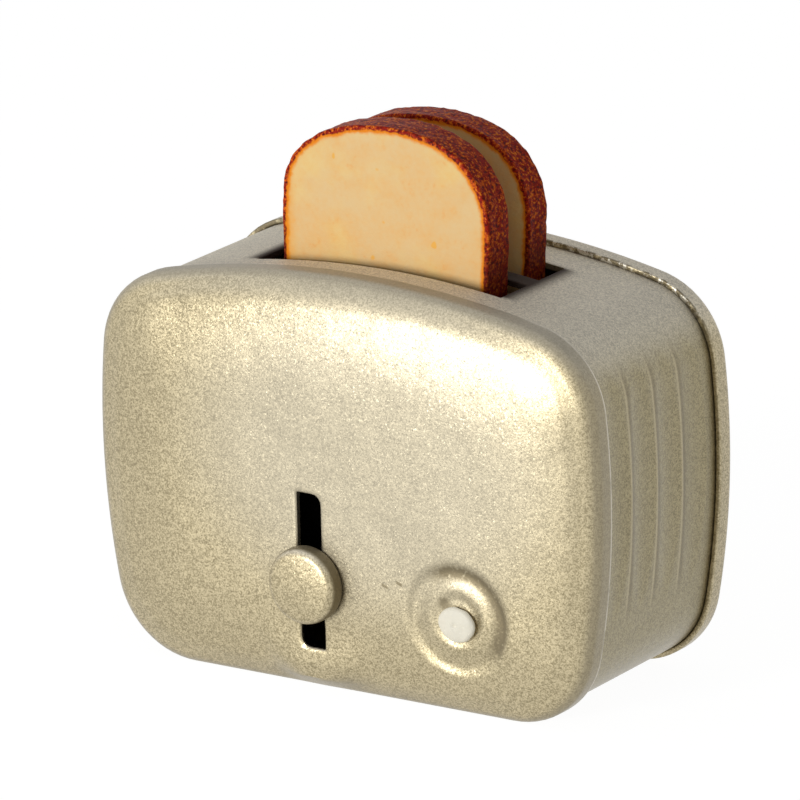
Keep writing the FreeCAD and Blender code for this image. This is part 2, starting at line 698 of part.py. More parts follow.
def write_parts():
    """Check every object, then write each sub-part's solids to its own file."""
    for thing in document.Objects:
        if {"Invalid", "Error"} & set(thing.State):
            raise RuntimeError(f"{thing.Label} failed: {thing.State}")
    os.makedirs("parts", exist_ok=True)
    for label in SUBPARTS:
        shape = document.getObjectsByLabel(label)[0].Shape
        if shape.isNull() or not shape.isValid() or not shape.Solids:
            raise RuntimeError(f"{label} has no valid solid")
        shape.exportStep(f"parts/{label}.step")
        box = shape.BoundBox
        print(f"{label}: {len(shape.Solids)} solid, {shape.Volume:.1f} cubic mm,"
              f" x {box.XMin:.2f} to {box.XMax:.2f}, y {box.YMin:.2f} to {box.YMax:.2f},"
              f" z {box.ZMin:.2f} to {box.ZMax:.2f}")


write_parts()
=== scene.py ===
import math

import bmesh
import bpy
from bpy.props import FloatProperty, FloatVectorProperty, IntProperty, PointerProperty
from mathutils import Matrix, Vector
from mathutils.kdtree import KDTree


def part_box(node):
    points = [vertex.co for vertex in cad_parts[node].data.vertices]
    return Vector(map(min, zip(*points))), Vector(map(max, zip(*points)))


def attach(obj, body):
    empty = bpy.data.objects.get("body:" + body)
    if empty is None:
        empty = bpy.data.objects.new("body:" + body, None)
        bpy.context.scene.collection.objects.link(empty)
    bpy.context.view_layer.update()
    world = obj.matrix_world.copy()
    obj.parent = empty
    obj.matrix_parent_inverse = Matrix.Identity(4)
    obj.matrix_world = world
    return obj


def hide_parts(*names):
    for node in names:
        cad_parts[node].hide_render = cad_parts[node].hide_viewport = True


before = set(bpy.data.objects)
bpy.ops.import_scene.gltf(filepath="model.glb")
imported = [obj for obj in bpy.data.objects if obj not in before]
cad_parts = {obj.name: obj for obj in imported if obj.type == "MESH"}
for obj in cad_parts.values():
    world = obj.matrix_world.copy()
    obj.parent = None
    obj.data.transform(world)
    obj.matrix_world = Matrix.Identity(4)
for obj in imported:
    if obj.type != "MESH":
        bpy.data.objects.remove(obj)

bl_info = {
    "name": "Toy toaster",
    "version": (1, 0, 0),
    "blender": (4, 5, 0),
    "location": "View3D > Sidebar > Toaster",
    "description": "The painted casing, lever, dial and toast of a pressed tin toy toaster",
    "category": "Add Mesh",
}

MM = 0.001
NEAR = 0.004 * MM  # places closer than this count as one
FLAKE = 0.13 * MM  # size of the paint's flakes
QUARTER = math.pi / 2
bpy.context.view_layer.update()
PANEL_LOW, PANEL_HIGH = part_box("front_panel")
BACK_LOW, BACK_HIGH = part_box("back_panel")
BAND_LOW, BAND_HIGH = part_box("body_band")
KNOB_LOW, KNOB_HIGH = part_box("lever_knob")
DOT_LOW, DOT_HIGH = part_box("dial_dot")
KNOB_MIDDLE, KNOB_RADIUS = (KNOB_LOW + KNOB_HIGH) / 2, (KNOB_HIGH.x - KNOB_LOW.x) / 2


# Sizes and colours


def length(name, size, note):
    """A size in millimetres as a property in metres."""
    return FloatProperty(name=name, description=note, default=size * MM, unit="LENGTH",
                         subtype="DISTANCE", precision=5)


def colour(name, red, green, blue, note):
    """A linear colour as a property."""
    return FloatVectorProperty(name=name, description=note, default=(red, green, blue, 1.0),
                               size=4, min=0.0, max=1.0, subtype="COLOR")


class ToasterCasing(bpy.types.PropertyGroup):
    """Sizes of the pressed panels and the band"""
    widest_half: length("Widest half", 27.0, "Half width where the sides bulge most")
    widest_height: length("Bulge height", 21.4, "Height of that bulge")
    side_arc: length("Side arc", 80.0, "Radius of the bulged sides")
    crown_height: length("Crown height", 39.2, "Top of the crown")
    crown_arc: length("Crown arc", 92.0, "Radius of the crown")
    corner_top: length("Upper corners", 8.3, "Radius of the upper corners")
    corner_base: length("Lower corners", 8.4, "Radius of the lower corners")
    edge: length("Panel edge", 2.9, "Rounded edge of a panel")
    tin: length("Tin", 0.5, "Sheet thickness")
    tuck: length("Band gap", 0.05, "Gap between a rim and the band inside it")
    sag: length("Face sag", 1.45, "How far a panel's face falls back towards its outline")
    sag_reach: length("Sag reach", 11.0, "How far in from the outline the face falls back")
    crown: length("Face crown", 0.75, "How far the middle of a panel's face stands proud")
    lip: length("Slot lip", 0.14, "How far the tin curls in at the lever slot")
    flute_deep: length("Flute depth", 0.3, "Depth of the side flutes at mid height")
    flute_pitch: length("Flute pitch", 4.35, "Spacing of the flutes")
    flute_first: length("First flute", -6.275, "Middle of the flute nearest the front")
    flute_round: length("Flute round", 7.0, "Cross radius of a flute")
    flute_run: length("Flute run", 480.0, "The shorter, the sooner a flute fades up and down")
    flank: length("Flank", 18.0, "Further out than this the band counts as its sides")
    shoulder: length("Shoulder", 33.0, "Above this height the band counts as its top")
    foot: length("Foot", 2.0, "Below this height the band counts as its underside")
    foot_half: length("Opening underneath", 11.0, "Half length of the opening underneath")
    per_side: IntProperty(name="Points a side", description="Outline points per side",
                          default=54, min=16, max=120)


class ToasterFittings(bpy.types.PropertyGroup):
    """Sizes of the lever slot, the dial and the knob"""
    slot_left: length("Slot left", -4.0, "Left edge of the lever slot")
    slot_right: length("Slot right", -1.4, "Right edge of the lever slot")
    slot_low: length("Slot foot", 4.3, "Bottom of the lever slot")
    slot_high: length("Slot head", 19.1, "Top of the lever slot")
    slot_corner: length("Slot corner", 0.95, "Radius of the lever slot's two round corners")
    slot_nick: length("Slot nick", 0.12, "Radius of its two sharp corners")
    dial_side: length("Dial across", 13.0, "Middle of the dial, across")
    dial_height: length("Dial height", 9.5, "Middle of the dial, up")
    groove: length("Groove", 4.5, "Radius of the dial's groove")
    groove_deep: length("Groove depth", 0.27, "Depth of that groove")
    groove_end: length("Groove edge", 5.7, "Radius where the groove begins")
    ring: length("Ring", 2.8, "Radius of the raised ring inside the groove")
    ring_deep: length("Ring depth", 0.04, "Depth of the ring's crest")
    bowl: length("Bowl", 1.98, "Radius of the bowl's lowest line")
    bowl_deep: length("Bowl depth", 0.2, "Depth of the bowl")
    seat: length("Seat", 1.4, "Radius of the seat under the dot")
    seat_deep: length("Seat depth", 0.16, "Depth of that seat")
    knob_edge: length("Knob edge", 0.8, "Rounded edge of the knob")
    knob_dome: length("Knob dome", 0.18, "How far the knob's face bulges")
    fitting_deep: length("Fitting depth", 1.2, "The slot's and the dial's marks end this far in")
    lip_reach: length("Lip reach", 0.45, "How far from the lever slot's edge the tin curls in")


class ToasterSlots(bpy.types.PropertyGroup):
    """Sizes of the toast slots and the slices"""
    slot_half: length("Slot half length", 13.1, "Half length of a toast slot")
    front_near: length("Front slot, near", -4.45, "Near edge of the front slot")
    front_far: length("Front slot, far", 0.05, "Far edge of the front slot")
    back_near: length("Back slot, near", 1.95, "Near edge of the back slot")
    back_far: length("Back slot, far", 6.45, "Far edge of the back slot")
    curl: length("Curl", 0.24, "How far from a toast slot's edge the tin curls in")
    curl_deep: length("Curl depth", 0.09, "How far the tin curls in at a toast slot")
    soft: length("Soft edge", 0.22, "Softened edge of a slice")
    lumps: length("Crust lumps", 0.26, "Range of the crust's lumps")
    crust: length("Crust", 0.9, "How far the crust's paint reaches onto a slice's face")


class ToasterColours(bpy.types.PropertyGroup):
    """Colours of the finishes"""
    champagne: colour("Champagne", 0.57, 0.483, 0.30, "Light grains of the front's paint")
    olive: colour("Olive", 0.265, 0.217, 0.118, "Dark grains of the front's paint")
    # Painted shade: the band's paint is the front's paint made darker, so that the band's sides
    # come out shaded
    pale: colour("Pale side", 0.375, 0.318, 0.18, "Light grains of the band's paint")
    dusk: colour("Dusky side", 0.205, 0.17, 0.09, "Dark grains of the band's paint")
    # Painted reflection: a light warm colour that upward-facing paint is blended towards, for
    # the sky seen in the top
    grey: colour("Warm grey", 0.95, 0.88, 0.73, "Smooth paint on the top")
    # Brown: thin worn paint on the back rim, scuffs and nicks, and also the colour of the
    # painted shade in the dial's groove, behind the flutes' crests and low round the knob
    brown: colour("Brown", 0.17, 0.135, 0.072, "Thin paint in hollows and round the knob")
    bare: colour("Bare steel", 0.56, 0.55, 0.53, "Chipped edges and steel parts")
    black: colour("Blackened steel", 0.03, 0.028, 0.026, "Lift plate and tray")
    enamel: colour("Enamel", 0.80, 0.76, 0.64, "The dot in the dial")
    crumb: colour("Crumb", 0.755, 0.535, 0.265, "Face of a slice")
    butter: colour("Butter", 0.80, 0.60, 0.25, "Yellow blotches on a slice's face")
    crust: colour("Crust", 0.30, 0.013, 0.006, "Rim of a slice")
    ember: colour("Ember", 0.62, 0.10, 0.010, "Lighter mottling of the rim")
    amber: colour("Amber", 0.80, 0.24, 0.012, "Thin paint where the crust ends")
    # Painted shade: near black for the top between and beside the toast slots
    stain: colour("Stain", 0.022, 0.008, 0.004, "Dark paint round the toast slots")
    chip: colour("Chips", 0.70, 0.66, 0.56, "Metal where the back rim's paint has flaked off")
    seam: colour("Seam", 0.66, 0.60, 0.48, "Paint that fills the seam behind the front")
    rim: colour("Rubbed rim", 0.72, 0.66, 0.54, "Edge of the front's rim")
    # Painted highlight: a paler, whiter colour over the middle and upper front
    front_highlight: colour("Sheen", 0.485, 0.445, 0.355, "Faded paint on the middle of the front")
    # Painted shade: a darker colour where the front rolls over to its rim
    roll: colour("Rolled edge", 0.235, 0.20, 0.13, "Duller paint where the front rolls over")
    # Painted shade: the casing's inside is near black in both colours below, standing for the
    # dark inside
    inside: colour("Inside", 0.035, 0.032, 0.028, "Unpainted inside of the tin")
    patch: colour("Inside patches", 0.075, 0.068, 0.058, "Paler patches of that inside")
    warm: colour("Warm enamel", 0.80, 0.74, 0.62, "Faint stain on the dot")
    spot: colour("Spots", 0.85, 0.42, 0.04, "Small brown spots on a slice's face")
    # Painted shade: a darker face low on a slice, where it sits in its slot
    low_face_shade: colour("Low face", 0.46, 0.33, 0.155, "A slice's face, low in its slot")
    glow: colour("Glow", 0.84, 0.36, 0.04, "Thin orange paint round a slice's face")
    spark: colour("Sparks", 0.78, 0.20, 0.012, "Bright specks in the crust")
    char: colour("Char", 0.05, 0.006, 0.004, "Dark specks in the crust")
    # Painted shade: a darker crust low on a slice, where it sits in its slot
    low_rind_shade: colour("Low crust", 0.05, 0.006, 0.003, "The crust, low in its slot")


class ToasterStudio(bpy.types.PropertyGroup):
    """Floor, lamps and camera"""
    azimuth: FloatProperty(name="Azimuth", description="Camera's turn round the toaster",
                           default=math.radians(33.444), subtype="ANGLE")
    elevation: FloatProperty(name="Elevation", description="Camera's rise",
                             default=math.radians(16.856), subtype="ANGLE")
    roll: FloatProperty(name="Roll", description="Camera's tilt",
                        default=math.radians(-1.318), subtype="ANGLE")
    lens: FloatProperty(name="Lens", description="Focal length in millimetres",
                        default=391.365)
    camera: FloatVectorProperty(name="Camera", description="Where the camera stands",
                                default=(0.417392, -0.633218, 0.254781), size=3,
                                subtype="TRANSLATION")
    lamp: FloatVectorProperty(name="Lamp", description="Where the lamp hangs",
                              default=(-0.14, -0.575, 0.09), size=3, subtype="TRANSLATION")
    aim: FloatVectorProperty(name="Aim", description="What the lamp looks at",
                             default=(0.0, 0.0, 0.02), size=3, subtype="TRANSLATION")
    lamp_wide: length("Lamp width", 160.0, "Width of the lamp")
    lamp_tall: length("Lamp height", 100.0, "Height of the lamp")
    power: FloatProperty(name="Power", description="Power of the lamp in watts", default=2.3)


# Shader maths and finishes


class Wire:
    """A socket in a finish, with arithmetic that adds Math nodes."""

    def __init__(self, finish, socket):
        self.finish = finish
        self.socket = socket

    def maths(self, operation, *values, clamp=False):
        return self.finish.node("ShaderNodeMath", dict(enumerate(values)), operation=operation,
                                use_clamp=clamp)

    def __add__(self, other):
        return self.maths("ADD", self, other)

    def __radd__(self, other):
        return self.maths("ADD", other, self)

    def __sub__(self, other):
        return self.maths("SUBTRACT", self, other)

    def __rsub__(self, other):
        return self.maths("SUBTRACT", other, self)

    def __mul__(self, other):
        return self.maths("MULTIPLY", self, other)

    def __abs__(self):
        return self.maths("ABSOLUTE", self)

    def root(self):
        """The square root."""
        return self.maths("SQRT", self)

    def held(self):
        """The value kept between 0 and 1."""
        return self.maths("ADD", self, 0.0, clamp=True)

    def step(self, start, end):
        """0 at start, 1 at end, smooth between."""
        return self.finish.node("ShaderNodeMapRange", {
            "Value": self, "From Min": start, "From Max": end},
            interpolation_type="SMOOTHSTEP")


class Finish:
    """The shader nodes of a material or a world."""

    def __init__(self, owner):
        owner.use_nodes = True
        self.owner = owner
        self.tree = owner.node_tree
        self.tree.nodes.clear()

    def node(self, kind, sockets=(), output=0, **settings):
        """Add a node: its settings first, then what its sockets take."""
        made = self.tree.nodes.new(kind)
        for name, value in settings.items():
            setattr(made, name, value)
        for key, value in dict(sockets).items():
            if isinstance(value, Wire):
                self.tree.links.new(value.socket, made.inputs[key])
            else:
                made.inputs[key].default_value = value
        return Wire(self, made.outputs[output])

    def parts(self, vector):
        """The x, y and z of a vector."""
        split = self.node("ShaderNodeSeparateXYZ", {0: vector}).socket.node
        return [Wire(self, s) for s in split.outputs]

    def place(self):
        """The shaded place, in the object's own coordinates."""
        return self.node("ShaderNodeTexCoord", output="Object")

    def here(self):
        """The x, y and z of the shaded place."""
        return self.parts(self.place())

    def facing(self):
        """The x, y and z of the way the surface faces there."""
        return self.parts(self.node("ShaderNodeTexCoord", output="Normal"))

    def square_from(self, x, z):
        """The squared distance of the shaded place from a line along Y."""
        across, _, up = self.here()
        side, rise = across - x, up - z
        return side * side + rise * rise

    def noise(self, size, detail=2.0, rough=0.5):
        """Soft noise whose lumps are about size across."""
        return self.node("ShaderNodeTexNoise", {
            "Vector": self.place(), "Scale": 1 / size, "Detail": detail, "Roughness": rough})

    def grains(self, size):
        """A random colour for each grain."""
        return self.node("ShaderNodeTexVoronoi", {"Vector": self.place(), "Scale": 1 / size},
                         output="Color")

    def mix(self, factor, low, high):
        """A colour between two."""
        return self.node("ShaderNodeMix", {0: factor, 6: low, 7: high}, output=2,
                         data_type="RGBA")

    def bump(self, height, depth, strength=1.0, normal=None):
        """A normal from a height, whose full range stands for a depth."""
        sockets = {"Height": height, "Distance": depth, "Strength": strength}
        if normal:
            sockets["Normal"] = normal
        return self.node("ShaderNodeBump", sockets)

    def close(self, **sockets):
        """Finish with the surface shader."""
        named = {key.replace("_", " "): value for key, value in sockets.items()}
        self.output(self.node("ShaderNodeBsdfPrincipled", named))
        return self.owner

    def output(self, shader, kind="ShaderNodeOutputMaterial"):
        """Send a shader to the output."""
        self.tree.links.new(shader.socket, self.tree.nodes.new(kind).inputs["Surface"])


def deeper(tint, part):
    """A colour with a part of its light left."""
    return [c * part for c in tint[:3]] + [1.0]


def champagne_paint(tint, name, light, dark, *wear_and_painted_light):
    """Metallic spray paint: a fine grain of tilted flakes, smoother on the top, with a painted
    reflection that makes the top lighter and greyer.
    """
    f = Finish(bpy.data.materials.new(name))
    top = f.facing()[2].step(0.25, 0.95)
    still = 1.0 - top * 0.2
    fine = f.noise(FLAKE, 2.0, 0.7)
    grain = f.noise(0.3 * MM, 2.0, 0.6)
    cloud = f.noise(8.0 * MM)
    flakes = f.grains(FLAKE)
    random = f.parts(flakes)
    speck = (fine * 1.3 + grain * 0.6 + random[0] * 0.45 - 1.18) * still
    # Painted reflection: upward-facing paint is blended towards a lighter, warmer colour, for
    # the sky that the top reflects
    body = f.mix((speck * 2.1 + cloud * 0.25 + 0.42).held(),
                 f.mix(top * 0.9, dark, deeper(tint.grey, 0.62)),
                 f.mix(top * 0.9, light, tint.grey))
    flake = (random[1].step(0.4, 0.8) * still).held()
    rough = (0.4 - flake * 0.04 + (cloud - 0.5) * 0.06 + top * 0.3).held()
    for add in wear_and_painted_light:
        marked, shade, dull = add(f, tint)
        marked = marked.held()
        body = f.mix(marked, body, shade)
        rough = f.node("ShaderNodeMix", {0: marked, 2: rough, 3: dull})
    waves = f.bump(cloud, 0.2 * MM)
    dimples = f.bump(grain * 0.5 + fine * 0.5, 0.03 * MM, 0.6, waves)
    kind = "ShaderNodeVectorMath"
    tilt = f.node(kind, {0: flakes, 1: (0.5, 0.5, 0.5)}, operation="SUBTRACT")
    tilt = f.node(kind, {0: tilt, "Scale": flake * 0.13}, operation="SCALE")
    tilted = f.node(kind, {0: dimples, 1: tilt}, operation="ADD")
    tilted = f.node(kind, {0: tilted}, operation="NORMALIZE")
    return f.close(Base_Color=body, Roughness=rough, Metallic=0.8 - top * 0.6,
                   Coat_Weight=0.5 - top * 0.5, Coat_Roughness=0.4, Normal=tilted)


# Wear, painted shade and painted highlights: how much of a mark there is at the shaded place,
# its colour and its roughness


def thin_rim(f, tint):
    """Thin paint on the back panel's upper rim."""
    _, back, up = f.here()
    rim = back.step(10.62 * MM, 10.4 * MM) * up.step(30.0 * MM, 34.0 * MM)
    return f.noise(0.9 * MM).step(0.4, 0.5) * rim, tint.brown, 0.45


def chipped_rim(f, tint):
    """Bare metal where the paint has flaked off that rim, on its right."""
    across, back, up = f.here()
    rim = back.step(10.6 * MM, 10.42 * MM) * up.step(33.0 * MM, 36.0 * MM)
    flaked = f.noise(0.6 * MM, 3.0, 0.7).step(0.5, 0.56)
    return flaked * (rim * across.step(0.0, 3.0 * MM)) * 0.8, tint.chip, 0.34


def knob_side_shade(f, tint):
    """Painted shade: brown low on the knob's side, where it meets the panel."""
    outer = f.square_from(KNOB_MIDDLE.x, KNOB_MIDDLE.z).step(
        (KNOB_RADIUS * 0.86) ** 2, (KNOB_RADIUS * 0.97) ** 2)
    low = f.here()[1].step(KNOB_LOW.y + 0.35 * MM, KNOB_LOW.y + 0.8 * MM)
    return outer * low * 0.9, tint.brown, 0.5


def knob_scuffs(f, tint):
    """Faint brown scuffs on the knob."""
    return f.noise(1.1 * MM, 3.0, 0.6).step(0.56, 0.72) * 0.35, tint.brown, 0.5


def slot_shade(f, tint):
    """Painted shade: the paint darkened almost to black between and beside the toast slots, for
    the shadow and the toasts' reflection there.
    """
    cut = bpy.context.scene.toaster_slots
    across, back, up = f.here()
    high = up.step(36.0 * MM, 36.8 * MM)
    inside = abs(back - (cut.front_near + cut.back_far) / 2).step(5.7 * MM, 4.9 * MM)
    end = abs(across).step(cut.slot_half + 2.6 * MM, cut.slot_half + 0.1 * MM)
    return high * inside * end * end * 0.97, tint.stain, 1.0


def rib_line(f, shift, wide):
    """A line along each crest between the flutes, shifted back, that fades over a width."""
    casing = bpy.context.scene.toaster_casing
    across, back, up = f.here()
    first = casing.flute_first + casing.flute_pitch / 2 + shift
    phase = (back - first) * (1 / casing.flute_pitch)
    near = abs(phase.maths("WRAP", phase, 0.5, -0.5))
    side = abs(across).step(20.0 * MM, 23.0 * MM)
    ends = up.step(8.0 * MM, 12.0 * MM) * up.step(34.0 * MM, 30.0 * MM)
    inner = abs(back - 0.25 * MM).step(6.2 * MM, 5.8 * MM)
    return near.step(wide / casing.flute_pitch, 0.0) * side * ends * inner


def rib_shade(f, tint):
    """Painted shade: a darker line just behind the crests."""
    return rib_line(f, 0.38 * MM, 0.6 * MM) * 0.6, tint.brown, 0.45


def rib_highlight(f, tint):
    """Painted highlight: a paler line along the crests."""
    return rib_line(f, 0.0, 0.26 * MM) * 0.5, tint.champagne, 0.4


def filled_seam(f, tint):
    """Paint that fills the seam behind the front's rim, in places."""
    edge = abs(f.here()[1] - PANEL_HIGH.y - 0.14 * MM).step(0.2 * MM, 0.05 * MM)
    return edge * f.noise(2.5 * MM).step(0.3, 0.55) * 0.7, tint.seam, 0.4


def rim_line(f, tint):
    """Paint rubbed pale along the edge of the front's rim, in places."""
    edge = f.here()[1].step(PANEL_HIGH.y - 0.3 * MM, PANEL_HIGH.y - 0.16 * MM)
    return edge * f.noise(2.5 * MM).step(0.25, 0.55) * 0.8, tint.rim, 0.38


def groove_shade(f, tint):
    """Painted shade: darker brown in the dial's groove, up and to the right of the dot."""
    fit = bpy.context.scene.toaster_fittings
    across, _, up = f.here()
    side, rise = across - fit.dial_side, up - fit.dial_height
    ring = abs((side * side + rise * rise).root() - fit.groove).step(1.1 * MM, 0.1 * MM)
    turn = (side * 0.75 + rise * 0.66).step(-0.8 * MM, 2.4 * MM)
    return ring * turn * f.noise(0.4 * MM).step(0.0, 0.6) * 1.3, tint.brown, 0.5


def dial_dark_spot(f, tint):
    """A darker brown spot beside the dot, up and to its left."""
    fit, shift = bpy.context.scene.toaster_fittings, 1.35 * MM
    away = f.square_from(fit.dial_side - shift, fit.dial_height + shift).root()
    return away.step(0.85 * MM, 0.3 * MM) * 0.85, tint.brown, 0.5


def front_highlight(f, tint):
    """Painted highlight: paler, whiter paint over the middle and upper part of the front, where
    the lamp's highlight lies.
    """
    across, _, up = f.here()
    side, rise = (across - 4.0 * MM) * (1 / (24.0 * MM)), (up - 24.0 * MM) * (1 / (19.0 * MM))
    return (side * side + rise * rise).step(1.0, 0.1) * 0.48, tint.front_highlight, 0.39


def rolled_edge_shade(f, tint):
    """Painted shade: darker, duller paint where the front rolls over to its rim."""
    return f.facing()[1].step(-0.95, -0.7) * 0.62, tint.roll, 0.45


def nicks(f, tint):
    """Two small dark nicks in the front's paint, between the lever and the dial."""
    across, _, up = f.here()
    marks = 0.0
    for side, height in ((6.95 * MM, 12.05 * MM), (5.4 * MM, 11.6 * MM)):
        lean = abs((up - height) + (across - side) * 0.35)
        marks += abs(across - side).step(0.42 * MM, 0.24 * MM) * lean.step(0.2 * MM, 0.1 * MM)
    return marks * 0.85, tint.brown, 0.5


# The other finishes


def shaded_inside(tint):
    """The inside of the tin, dull and near black as painted shade: one finish for the whole
    casing.
    """
    name = "shaded_inside"
    if name in bpy.data.materials:
        return bpy.data.materials[name]
    f = Finish(bpy.data.materials.new(name))
    patch = f.noise(1.8 * MM, 3.0)
    return f.close(Base_Color=f.mix(patch, tint.inside, tint.patch), Metallic=0.5,
                   Roughness=0.6 + patch * 0.2, Normal=f.bump(patch, 0.02 * MM, 0.4))


def rolled_steel(name, shade):
    """Rolled steel with fine draw lines and dull patches."""
    f = Finish(bpy.data.materials.new(name))
    patch = f.noise(1.4 * MM, 3.0)
    lines = f.noise(0.12 * MM)
    body = f.mix((patch * 0.7 + lines * 0.3).held(), deeper(shade, 0.55), shade)
    return f.close(Base_Color=body, Roughness=0.28 + patch * 0.25, Metallic=0.9,
                   Normal=f.bump(lines, 0.01 * MM, 0.4))


def white_enamel(tint):
    """Thick glossy enamel, with a faint warm stain."""
    f = Finish(bpy.data.materials.new("white_enamel"))
    patch = f.noise(0.9 * MM)
    body = f.mix(patch.step(0.5, 0.75) * 0.35, tint.enamel, tint.warm)
    return f.close(Base_Color=body, Roughness=0.5 + patch * 0.12,
                   Specular_IOR_Level=0.3, Normal=f.bump(patch, 0.05 * MM, 0.5))


def painted_toast(tint):
    """A cream face, and a red-brown crust that thins to amber where it meets the face."""
    f = Finish(bpy.data.materials.new("painted_toast"))
    reach = f.node("ShaderNodeAttribute", output="Fac", attribute_name="crust")
    across, _, up = f.here()
    ragged = f.noise(1.6 * MM, 3.0, 0.6) * 0.8 + f.noise(0.4 * MM) * 0.3 - 0.55
    edge = reach + ragged * 0.6
    mottle = f.noise(0.6 * MM, 4.0, 0.7)
    pits = f.noise(0.3 * MM, 3.0, 0.6)
    face = f.mix(f.noise(5.0 * MM, 3.0).step(0.42, 0.7) * 0.7, tint.crumb, tint.butter)
    face = f.mix(f.noise(2.2 * MM, 1.0).step(0.765, 0.79) * 0.7, face, tint.spot)
    # Painted shade: the face darker low down, where it sits in its slot
    face = f.mix(up.step(42.0 * MM, 34.0 * MM) * 0.3, face, tint.low_face_shade)
    rind = f.mix(mottle.step(0.48, 0.62) * 0.85, tint.crust, tint.ember)
    rind = f.mix(pits.step(0.55, 0.64) * 0.9, rind, tint.spark)
    rind = f.mix(pits.step(0.47, 0.37) * 0.9, rind, tint.char)
    # Painted shade: the crust darker low down, where it sits in its slot
    rind = f.mix(up.step(43.5 * MM, 38.3 * MM) * 0.65, rind, tint.low_rind_shade)
    left = across.step(-8.8 * MM, -10.5 * MM) * f.noise(2.4 * MM).step(0.15, 0.55)
    glow = (edge + f.noise(3.0 * MM) * 0.5).step(0.0, 0.75) * 0.55 + left * 0.75
    face = f.mix(glow.held(), face, tint.glow)
    body = f.mix(edge.step(0.06, 0.4), face, tint.amber)
    body = f.mix(edge.step(0.4, 0.62), body, rind)
    return f.close(Base_Color=body, Roughness=(0.42 + mottle * 0.15).held(),
                   Specular_IOR_Level=0.06,
                   Normal=f.bump(mottle * 0.6 + pits * 0.4, 0.12 * MM, 0.4))


def paint(piece, *materials):
    """Give a piece its finishes, in slot order, and keep which face has which."""
    slots = [face.material_index for face in piece.data.polygons]
    piece.data.materials.clear()
    for material in materials:
        piece.data.materials.append(material)
    piece.data.polygons.foreach_set("material_index", slots)


# Mesh tools


def named(name):
    """Name the new object."""
    piece = bpy.context.object
    piece.name = piece.data.name = name
    return piece


def free_hands():
    """Leave edit mode and deselect everything."""
    if bpy.context.object and bpy.context.object.mode == "EDIT":
        bpy.ops.object.mode_set(mode="OBJECT")
    bpy.ops.object.select_all(action="DESELECT")


def hold(piece):
    """Make a piece the only selected object, and the active one."""
    free_hands()
    piece.select_set(True)
    bpy.context.view_layer.objects.active = piece


def work_on(piece):
    """Open a piece in edit mode, with no other object selected."""
    hold(piece)
    bpy.ops.object.mode_set(mode="EDIT")


def pick(kind, test):
    """Select, and count, the edges or faces that pass a test of x, y and z.

    An edge passes with both its ends, a face with its middle."""
    mesh = bmesh.from_edit_mesh(bpy.context.object.data)
    bpy.ops.mesh.select_mode(type=kind)
    bpy.ops.mesh.select_all(action="DESELECT")
    if kind == "EDGE":
        found = [edge for edge in mesh.edges if all(test(*v.co) for v in edge.verts)]
    else:
        found = [face for face in mesh.faces if test(*face.calc_center_median())]
    for part in found:
        part.select_set(True)
    mesh.select_flush_mode()
    bmesh.update_edit_mesh(bpy.context.object.data)
    return len(found)


def at(level):
    """A test for places at a level along Y."""
    return lambda x, y, z: abs(y - level) < NEAR


def face_out():
    """Select everything and turn every face outwards."""
    bpy.ops.mesh.select_all(action="SELECT")
    bpy.ops.mesh.normals_make_consistent(inside=False)


def blank(name, points, level):
    """A flat face with an outline of x and z, facing -Y at a level along Y."""
    free_hands()
    bpy.ops.mesh.primitive_circle_add(vertices=len(points), radius=MM, fill_type="NGON")
    piece = named(name)
    for vertex, (across, up) in zip(piece.data.vertices, points):
        vertex.co = (across, level, up)
    work_on(piece)
    bpy.ops.mesh.select_all(action="SELECT")
    mesh = bmesh.from_edit_mesh(piece.data)
    mesh.normal_update()
    if next(iter(mesh.faces)).normal.y > 0:
        bpy.ops.mesh.flip_normals()
    return piece


def slide(across=0.0, back=0.0, up=0.0):
    """Extrude what is selected."""
    bpy.ops.mesh.extrude_region_move(
        TRANSFORM_OT_translate={"value": (across, back, up)})


def slice_at(axis, level, test):
    """Cut the faces that pass a test along a plane across an axis."""
    if pick("FACE", test):
        point = [level if i == axis else 0.0 for i in range(3)]
        normal = [1.0 if i == axis else 0.0 for i in range(3)]
        bpy.ops.mesh.bisect(plane_co=point, plane_no=normal, threshold=NEAR / 4)


def finish_with(piece, kind, **settings):
    """Add a modifier to a piece and apply it."""
    hold(piece)
    modifier = piece.modifiers.new(kind.title(), kind)
    for name, value in settings.items():
        setattr(modifier, name, value)
    bpy.ops.object.modifier_apply(modifier=modifier.name)


def press(piece, axis, depth, part):
    """Push a piece's vertices along an axis, each by its own part of a depth."""
    free_hands()
    group = piece.vertex_groups.new(name="press")
    for vertex in piece.data.vertices:
        weight = part(*vertex.co)
        if weight > 0.0:
            group.add([vertex.index], min(weight, 1.0), "REPLACE")
    finish_with(piece, "DISPLACE", vertex_group=group.name, direction=axis, mid_level=0.0,
                strength=depth)
    piece.vertex_groups.remove(piece.vertex_groups[0])


def smooth(piece, degrees=35.0):
    """Smooth shading up to an angle between faces."""
    hold(piece)
    bpy.ops.object.shade_smooth_by_angle(angle=math.radians(degrees))


def step(value, begin, end):
    """0 at begin, 1 at end, smooth between."""
    t = min(max((value - begin) / (end - begin), 0.0), 1.0)
    return t * t * (3.0 - 2.0 * t)


# The casing's outline


def crossing(first, reach, second, other):
    """Where two circles cross on the right."""
    way = second - first
    along = (reach ** 2 - other ** 2 + way.length_squared) / (2 * way.length)
    out = math.sqrt(reach ** 2 - along ** 2)
    middle = first + way.normalized() * along
    square = Vector((way.y, -way.x)).normalized()
    return max((middle + square * out, middle - square * out), key=lambda p: p.x)


def heading(start_point, end_point):
    """The angle of the way from one point to another."""
    way = end_point - start_point
    return math.atan2(way.y, way.x)


